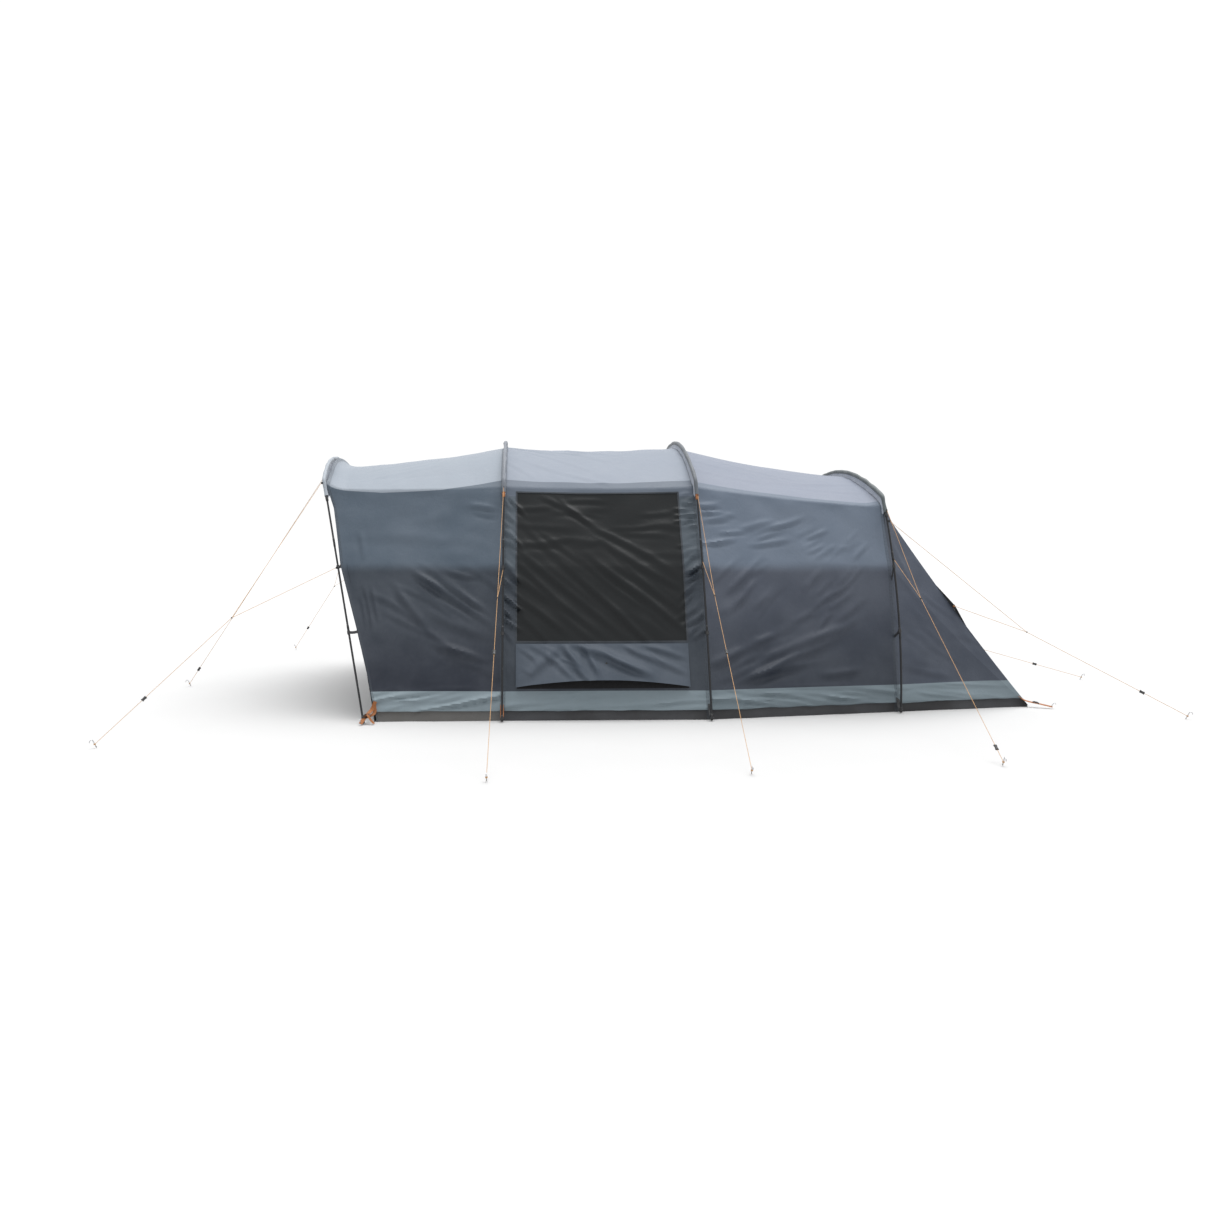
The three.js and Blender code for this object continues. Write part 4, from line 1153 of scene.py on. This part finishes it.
tab = place((3.578, 0, 0.392))
strap_piece("rear_centre_tab",
            smooth_path([tab + Vector((-0.075, 0, -0.035)), tab + Vector((-0.035, 0, -0.012)), tab], 8),
            (0, 1, 0), 0.03, orange_webbing)
front_tab = place((-1.422, 0, 1.864))
strap_piece("front_centre_tab",
            smooth_path([front_tab + Vector((0.03, 0, 0.012)), front_tab + Vector((0.012, 0, 0.006)),
                         front_tab], 6),
            (0, 1, 0), 0.022, black_webbing)
for line in LINES:
    for spot, tone in ((line["start"], 0), (line["branch"], 1)):
        tied_off_pole = line["name"].endswith("centre") or line["name"].startswith("rear_corner") and tone
        if spot is None or tied_off_pole:
            continue
        hoop = HOOPS[line["name"].split("_")[0]]
        side = math.copysign(1, spot.y)
        v = hoop_v(hoop, spot.z)
        on_pole = pole_spot(hoop, v, side)
        way = spot - on_pole
        if way.length < 0.002:
            continue
        strap_piece("guy_tab_%s_%d" % (line["name"], tone),
                    [on_pole + way.normalized() * 0.006, on_pole.lerp(spot, 0.6), spot],
                    (0, 0, 1), 0.016,
                    orange_webbing if hoop in (HOOPS["second"], HOOPS["third"]) else black_webbing)
        loop_piece("guy_ring_%s_%d" % (line["name"], tone), spot, (1, 0, 0), 0.0065, 0.0016, black_plastic,
                   slot="runner_plastic")


# ---- Front wall, front door and zip ---------------------------------------------------------------
# A leaning flat wall closes the front. Its D-shaped door hinges on its seam near the middle and
# closes with a coil zip down the curved side. A slider with a cord pull runs on the zip.
def door_outline(door, gap, count=14):
    """The door's curved edge from sill to head on its free side, as y and height."""
    hinge, foot, head_y, sill, head, corner = door
    way = math.copysign(1, foot - hinge)
    foot, top = foot - way * gap, head_y - way * gap
    sill, head = sill + gap, head - gap
    slant = (top - foot) / (head - sill)

    def turn(a, b, c):
        return [np.array(a) * (1 - t) ** 2 + np.array(b) * 2 * t * (1 - t) + np.array(c) * t * t
                for t in np.linspace(0, 1, count)]

    low = turn((foot - way * corner, sill), (foot, sill), (foot + slant * corner, sill + corner))
    high = turn((top - slant * corner, head - corner), (top, head), (top - way * corner, head))
    hinge += way * gap
    return np.array([(hinge, sill), *low, *high, (hinge, head)])


def filled_panel(outline, holes, cell):
    """A flat triangulated panel between outlines, as points and faces, cut up into small cells."""
    mesh = bmesh.new()
    edges = []
    for loop in [outline, *holes]:
        ring = [mesh.verts.new((0, y, z)) for y, z in loop]
        edges += [mesh.edges.new((ring[i], ring[(i + 1) % len(ring)])) for i in range(len(ring))]
    bmesh.ops.triangle_fill(mesh, edges=edges, use_beauty=True)
    low, high = np.min(outline, 0), np.max(outline, 0)
    for axis in (1, 2):
        for at in np.arange(low[axis - 1] + cell, high[axis - 1], cell):
            spot, way = [0, 0, 0], [0, 0, 0]
            spot[axis], way[axis] = at, 1
            bmesh.ops.bisect_plane(mesh, geom=mesh.verts[:] + mesh.edges[:] + mesh.faces[:], plane_co=spot,
                                   plane_no=way, dist=1e-6)
    bmesh.ops.recalc_face_normals(mesh, faces=mesh.faces)
    return mesh


def hung_panel(name, outline, holes, x, lean, thickness, material, seed, groups=(), body="tent",
               cell=0.03, billow=0.004, facing=-1):
    """A panel standing across the tent, creased a little and given its two faces."""
    mesh = filled_panel(outline, holes, cell)
    y = np.array([v.co.y for v in mesh.verts])
    z = np.array([v.co.z for v in mesh.verts])
    relief = crease_field(y, z, [], groups, seed) + billow * np.sin(y * 5 + seed) * np.sin(z * 4)
    turn = Matrix.Rotation(-lean, 3, "Y")
    shift = Vector((x - CENTRE_X, 0, 0))
    layer = mesh.loops.layers.uv.new("cloth")
    for face in mesh.faces:
        if face.normal.x * facing < 0:
            face.normal_flip()
        for loop in face.loops:
            loop[layer].uv = (loop.vert.co.y, loop.vert.co.z)
    mesh.verts.index_update()
    for vertex, away in zip(mesh.verts, relief):
        vertex.co = turn @ Vector((away * facing, vertex.co.y, vertex.co.z)) + shift
    data = bpy.data.meshes.new(name)
    mesh.to_mesh(data)
    mesh.free()
    data.materials.append(material)
    mark(data, "up_wall", np.where(z < VALANCE_TOP, z, np.clip(z, 0.2, 1.9)))
    mark(data, "to_seam", np.full(len(z), 0.5))
    data.polygons.foreach_set("use_smooth", np.ones(len(data.polygons), bool))
    piece = set_out(name, data)
    modifier = piece.modifiers.new("cloth", "SOLIDIFY")
    modifier.thickness, modifier.offset = thickness, -1
    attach(piece, body)
    return piece


def arch_outline(section, inset, floor):
    v = np.concatenate([[0, 0.3, 0.645, 0.8], np.linspace(1, 2, 33), [2.2, 2.355, 2.7, 3]])
    y, z = arch(section, v)
    share = (section["foot"] - inset) / section["foot"]
    return np.stack([y * share, np.maximum(floor, z * (1 - inset / section["top"]))], -1)


FRONT_DOOR = (-0.12, -0.96, -0.73, 0.09, 1.44, 0.13)
FRONT_WALL_X = -0.88 + 0.0262
wall_groups = [(-1.2, 1.2, 0.2, 1.6, -60, 60, 0.2, 0.6, 0.03, 0.0022, 26),
               (-1.3, 1.3, 0.07, 0.18, -6, 6, 0.2, 0.5, 0.01, 0.002, 10)]
front_wall = hung_panel("front_wall_cloth", arch_outline(SECTIONS["front"], 0.014, 0),
                        [door_outline(FRONT_DOOR, 0)], FRONT_WALL_X, LEAN, 0.0012, BAY_LOOKS["front"], 61,
                        groups=wall_groups)
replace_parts(front_wall, "front_wall")
door_groups = [(-0.9, -0.15, 0.2, 1.4, -60, 60, 0.2, 0.5, 0.03, 0.0022, 12)]
front_door = hung_panel("front_door_cloth", door_outline(FRONT_DOOR, 0.0015), [], FRONT_WALL_X, LEAN,
                        0.0012, BAY_LOOKS["front"], 62, groups=door_groups, body="front_door")
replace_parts(front_door, "front_door")


def tooth_tree():
    """Teeth along a curve: a small block on every pitch, turned to the curve."""
    tree = bpy.data.node_groups.new("zip_teeth", "GeometryNodeTree")
    tree.interface.new_socket("Geometry", in_out="INPUT", socket_type="NodeSocketGeometry")
    for name in ("Pitch", "Width", "Height"):
        tree.interface.new_socket(name, in_out="INPUT", socket_type="NodeSocketFloat")
    tree.interface.new_socket("Material", in_out="INPUT", socket_type="NodeSocketMaterial")
    tree.interface.new_socket("Geometry", in_out="OUTPUT", socket_type="NodeSocketGeometry")
    start, end = tree.nodes.new("NodeGroupInput"), tree.nodes.new("NodeGroupOutput")
    line = tree.nodes.new("GeometryNodeMeshToCurve")
    spots = tree.nodes.new("GeometryNodeCurveToPoints")
    spots.mode = "LENGTH"
    block = tree.nodes.new("GeometryNodeMeshCube")
    size = tree.nodes.new("ShaderNodeCombineXYZ")
    put = tree.nodes.new("GeometryNodeInstanceOnPoints")
    real = tree.nodes.new("GeometryNodeRealizeInstances")
    paint = tree.nodes.new("GeometryNodeSetMaterial")
    half = tree.nodes.new("ShaderNodeMath")
    half.operation, half.inputs[1].default_value = "MULTIPLY", 0.55
    for source, out, target, into in (
            (start, "Geometry", line, "Mesh"), (line, "Curve", spots, "Curve"),
            (start, "Pitch", spots, "Length"), (start, "Pitch", half, 0),
            (start, "Width", size, "X"), (start, "Height", size, "Y"),
            (half, 0, size, "Z"), (size, 0, block, "Size"), (spots, "Points", put, "Points"),
            (spots, "Rotation", put, "Rotation"), (block, "Mesh", put, "Instance"),
            (put, "Instances", real, "Geometry"), (real, "Geometry", paint, "Geometry"),
            (start, "Material", paint, "Material"), (paint, "Geometry", end, "Geometry")):
        tree.links.new(source.outputs[out], target.inputs[into])
    return tree


teeth = tooth_tree()


def repeated_along(name, path, pitch, width, height, material, body="tent"):
    """Blocks set along a path by the tree, taken back as one plain mesh."""
    data = bpy.data.meshes.new(name + "_path")
    data.from_pydata([tuple(p) for p in path], [(i, i + 1) for i in range(len(path) - 1)], [])
    source = set_out(name + "_path", data)
    modifier = source.modifiers.new("teeth", "NODES")
    modifier.node_group = teeth
    inputs = {item.name: item.identifier for item in teeth.interface.items_tree if item.in_out == "INPUT"}
    for key, value in (("Pitch", pitch), ("Width", width), ("Height", height), ("Material", material)):
        modifier[inputs[key]] = value
    plain = bpy.data.meshes.new_from_object(source.evaluated_get(bpy.context.evaluated_depsgraph_get()))
    bpy.data.objects.remove(source)
    plain.name = name
    piece = set_out(name, plain)
    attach(piece, body)
    return piece


def on_wall(outline, x, lean, forward):
    """An outline's points on a leaning wall, moved forward of it."""
    turn = Matrix.Rotation(-lean, 3, "Y")
    return [turn @ Vector((-forward, y, z)) + Vector((x - CENTRE_X, 0, 0)) for y, z in outline]


def dense(points, step=0.01):
    points = [Vector(p) for p in points]
    path = []
    for a, b in zip(points, points[1:]):
        count = max(1, round((b - a).length / step))
        path += [a.lerp(b, i / count) for i in range(count)]
    return path + [points[-1]]


ZIP_PITCH, ZIP_MARGIN = 0.0032, 0.008
zip_plastic = plastic_material("zip_coil", (0.024, 0.026, 0.03), 0.5)
zip_line = door_outline(FRONT_DOOR, -ZIP_MARGIN)
path = dense(on_wall(zip_line, FRONT_WALL_X, LEAN, 0.0075))
repeated_along("front_zip_teeth", path, ZIP_PITCH, 0.0052, 0.0022, zip_plastic)
out_of_wall = Vector((-math.cos(LEAN), 0, -math.sin(LEAN)))
tape_ways = [out_of_wall.cross((path[min(i + 1, len(path) - 1)] - path[max(i - 1, 0)]).normalized())
             for i in range(0, len(path), 3)]
strap_piece("front_zip_tape", path[::3], tape_ways, 0.018, black_webbing, thickness=0.001)


def slider_piece(name, node, lean):
    """A cast slider body over the zip, with a bridge and a knotted cord pull."""
    low, high = (Vector(corner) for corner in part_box(node))
    middle = (low + high) / 2
    turn = Matrix.Rotation(-lean, 3, "Y")
    outline = [(-0.006, -0.015), (-0.0068, -0.004), (-0.0052, 0.010), (-0.0025, 0.015),
               (0.0025, 0.015), (0.0052, 0.010), (0.0068, -0.004), (0.006, -0.015)]
    slices = [(0.003, 0.9), (0.0022, 1), (-0.0012, 1), (-0.002, 0.88)]
    vertices = [middle + turn @ Vector((x, y * inset, z * inset)) for x, inset in slices for y,
                z in outline]
    body = mesh_piece(name + "_body", vertices, rings_to_faces(4, 8), peg_steel, body=node,
                      slot="zip_metal", smooth=False)
    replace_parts(body, node)
    arc = [(-0.002, 0.009), (-0.0052, 0.006), (-0.0056, -0.004), (-0.002, -0.009)]
    bridge = smooth_path([middle + turn @ Vector((x, 0, z)) for x, z in arc], 12)
    tube_piece(name + "_bridge", bridge, 0.0011, peg_steel, sides=10, body=node, slot="zip_metal")
    drop = [(-0.0050, 0.0, 0.002), (-0.0068, 0.0015, -0.012), (-0.0055, 0.001, -0.03),
            (-0.005, 0.0, -0.046)]
    pull = smooth_path([middle + turn @ Vector(spot) for spot in drop], 16)
    radii = [0.0011] * 12 + [0.0014, 0.0024, 0.0026, 0.0022, 0.0012]
    tube_piece(name + "_pull", pull, radii, orange_webbing, sides=10, body=node, slot="zip_metal")


slider_piece("front_slider", "front_zip_slider", LEAN)


# ---- Bedroom, inner door and groundsheet -----------------------------------------------------------
# The inner tent is breathable pale polyester with a black bathtub floor, hung clear of the fly.
# Its front wall has a D-shaped door. A loose woven-film groundsheet covers the living area.
def inner_material(name, cloth_colour, floor_colour, floor_height):
    material, shader, spot = new_material(name, Sheen_Weight=0.1)
    height = spot.node("ShaderNodeSeparateXYZ", output=2, Vector=spot)
    cloud = spot.noise(Scale=3.0, Detail=4.0)
    weave = spot.wave("Z", Scale=180.0, Distortion=0.4)
    rumple = spot.noise(Scale=14.0, Detail=4.0, Distortion=0.5)
    colour = mix(cloud.step(0.3, 0.7, 0.0, 0.25), cloth_colour, (0.62, 0.62, 0.58))
    feed(shader,
         Base_Color=mix(height.step(floor_height - 0.001, floor_height + 0.001, 1.0, 0.0), colour,
                        floor_colour),
         Roughness=cloud.step(0.3, 0.7, 0.7, 0.85),
         Normal=(weave * 0.0002 + rumple * 0.004).bump(0.6))
    return material


inner_look = inner_material("inner_breathable_cloth", (0.50, 0.49, 0.44), (0.020, 0.021, 0.024), 0.12)
BEDROOM = {
    "front": dict(x=1.456, lean=0.0, foot=1.3, shoulder=(0.87, 1.45), top=1.78, bulge=0.06),
    "knee": dict(x=2.76, lean=0.0, foot=1.1, shoulder=(0.89, 1.3), top=1.56, bulge=0.08),
    "tail": dict(x=3.6, lean=0.0, foot=0.96, shoulder=(0.94, 0.11), top=0.12, bulge=0.0),
}
v_stops = np.concatenate([np.linspace(0, 1, 40)[:-1], np.linspace(1, 2, 56)[:-1], np.linspace(2, 3, 40)])
rows = []
for first, last, count in (("front", "knee", 44), ("knee", "tail", 32)):
    a, b = on_hoop(BEDROOM[first], v_stops), on_hoop(BEDROOM[last], v_stops)
    for s in np.linspace(0, 1, count, endpoint=last == "tail"):
        row = a * (1 - s) + b * s
        up = np.minimum(up_leg(v_stops), 1)
        dip = 0.02 * 4 * s * (1 - s)
        row[:, 2] -= dip * up
        row[:, 1] -= np.sign(row[:, 1]) * 0.5 * dip * np.sin(np.pi * up)
        rows.append(row)
for share in (0.7, 0.35, 0.0):
    rows.append(rows[75] * (1, 1, share))
skin = np.array(rows)
skin[..., 2] = np.maximum(skin[..., 2], 0.0012)
relief = crease_field(skin[..., 0] + CENTRE_X, skin[..., 2] + skin[..., 1], [],
                      [(1.5, 3.5, -1.2, 3.0, -70, 70, 0.2, 0.6, 0.03, 0.004, 60)], 71)
inner = skin - grid_normals(skin) * (np.abs(relief) * np.clip(skin[..., 2] / 0.05, 0, 1))[..., None]
bedroom = cloth_piece("bedroom_cloth", inner, 0.001, inner_look, measured(inner))
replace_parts(bedroom, "inner_tent")
surface_area(inner)
share = np.linspace(0, 1, 24)
floor_rows = np.array([[np.array([x, y * (1 - t) + -y * t, 0.0016]) for t in share]
                       for x, y in ((row[0, 0], row[0, 1]) for row in skin[:76])])
floor_rows[..., 2] += 0.0008 * (1 + np.sin(floor_rows[..., 0] * 17) * np.sin(floor_rows[..., 1] * 13))
bedroom_floor = cloth_piece("bedroom_floor", floor_rows, 0.0008, inner_look, measured(floor_rows))
surface_area(floor_rows)

INNER_DOOR = (0.4, -0.4, -0.4, 0.12, 1.4, 0.18)
INNER_WALL_X = 1.4535
inner_groups = [(-1.1, 1.1, 0.2, 1.6, -70, 70, 0.2, 0.5, 0.03, 0.002, 18)]
inner_wall = hung_panel("inner_wall_cloth", arch_outline(BEDROOM["front"], 0, 0.003),
                        [door_outline(INNER_DOOR, 0)], INNER_WALL_X, 0.0, 0.001, inner_look, 72,
                        groups=inner_groups)
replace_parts(inner_wall, "inner_front_wall")
inner_groups = [(-0.35, 0.35, 0.2, 1.3, -70, 70, 0.2, 0.5, 0.03, 0.002, 10)]
inner_door = hung_panel("inner_door_cloth", door_outline(INNER_DOOR, 0.0015), [], INNER_WALL_X, 0.0,
                        0.001, inner_look, 73, groups=inner_groups, body="inner_door")
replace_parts(inner_door, "inner_door")
path = dense(on_wall(door_outline(INNER_DOOR, -ZIP_MARGIN), INNER_WALL_X, 0.0, 0.0065))
repeated_along("inner_zip_teeth", path, ZIP_PITCH, 0.0048, 0.0020, zip_plastic)
slider_piece("inner_slider", "inner_zip_slider", 0.0)


def groundsheet_material():
    material, shader, spot = new_material("groundsheet_woven_film")
    checks = spot.node("ShaderNodeTexChecker", Vector=spot, Scale=420.0, output=1)
    crinkle = spot.noise(Scale=24.0, Detail=6.0, Roughness=0.65)
    soil = spot.noise(Scale=4.0, Detail=5.0)
    feed(shader, Base_Color=mix(soil, (0.055, 0.062, 0.07), (0.085, 0.088, 0.088)),
         Roughness=crinkle.step(0.3, 0.7, 0.42, 0.62),
         Normal=(checks * 0.0002 + crinkle * 0.002).bump(0.5))
    return material


low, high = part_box("groundsheet")
xs, ys = np.linspace(low[0], high[0], 110), np.linspace(low[1], high[1], 120)
sheet = np.stack(np.meshgrid(xs, ys, indexing="ij") + [np.zeros((110, 120))], -1)
ripples = crease_field(sheet[..., 0], sheet[..., 1], [],
                       [(low[0], high[0], -1.3, 1.3, 0, 180, 0.2, 0.7, 0.03, 0.0012, 50)], 81)
sheet[..., 2] = 0.0018 + np.clip(ripples, -0.0004, 0.0022)
ground = cloth_piece("groundsheet_film", sheet, 0.001, groundsheet_material(), measured(sheet))
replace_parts(ground, "groundsheet")

# ---- Floor, light and finish --------------------------------------------------------------------
# A plain pale floor runs to the horizon under a bright even sky, with one large soft lamp above.
floor_mesh = bpy.data.meshes.new("floor")
floor_mesh.from_pydata([(x * 60, y * 60, 0) for x, y in ((-1, -1), (1, -1), (1, 1), (-1, 1))], [],
                       [(0, 1, 2, 3)])
floor_look, floor_shader, floor_spot = new_material("pale_floor", Roughness=0.9)
floor_grain = floor_spot.noise(Scale=3.0, Detail=3.0)
feed(floor_shader, Base_Color=mix(floor_grain, (0.475, 0.475, 0.475), (0.49, 0.49, 0.49)))
floor_mesh.materials.append(floor_look)
set_out("floor", floor_mesh)

world = bpy.data.worlds.new("studio")
bpy.context.scene.world = world
world.use_nodes = True
world.node_tree.nodes["Background"].inputs["Color"].default_value = (1, 1, 1, 1)
sky = Flow(world.node_tree, world.node_tree.nodes["Background"].outputs[0])
rise = sky.node("ShaderNodeSeparateXYZ", output=2, Vector=sky.node("ShaderNodeTexCoord", output=0))
glow = rise.step(0.0, 0.9, 1.02, 1.1)
world.node_tree.links.new(glow.socket, world.node_tree.nodes["Background"].inputs["Strength"])
bpy.context.scene.view_settings.view_transform = "Standard"


def soft_lamp(name, direction, strength, spread):
    """A broad lamp so far off that it lights the whole floor evenly."""
    data = bpy.data.lights.new(name, "SUN")
    data.energy, data.angle = strength, math.radians(spread)
    set_out(name, data).rotation_euler = Vector(direction).to_track_quat("-Z", "Y").to_euler()


soft_lamp("overhead", (-0.15, -0.16, -1.0), 3.4, 54)
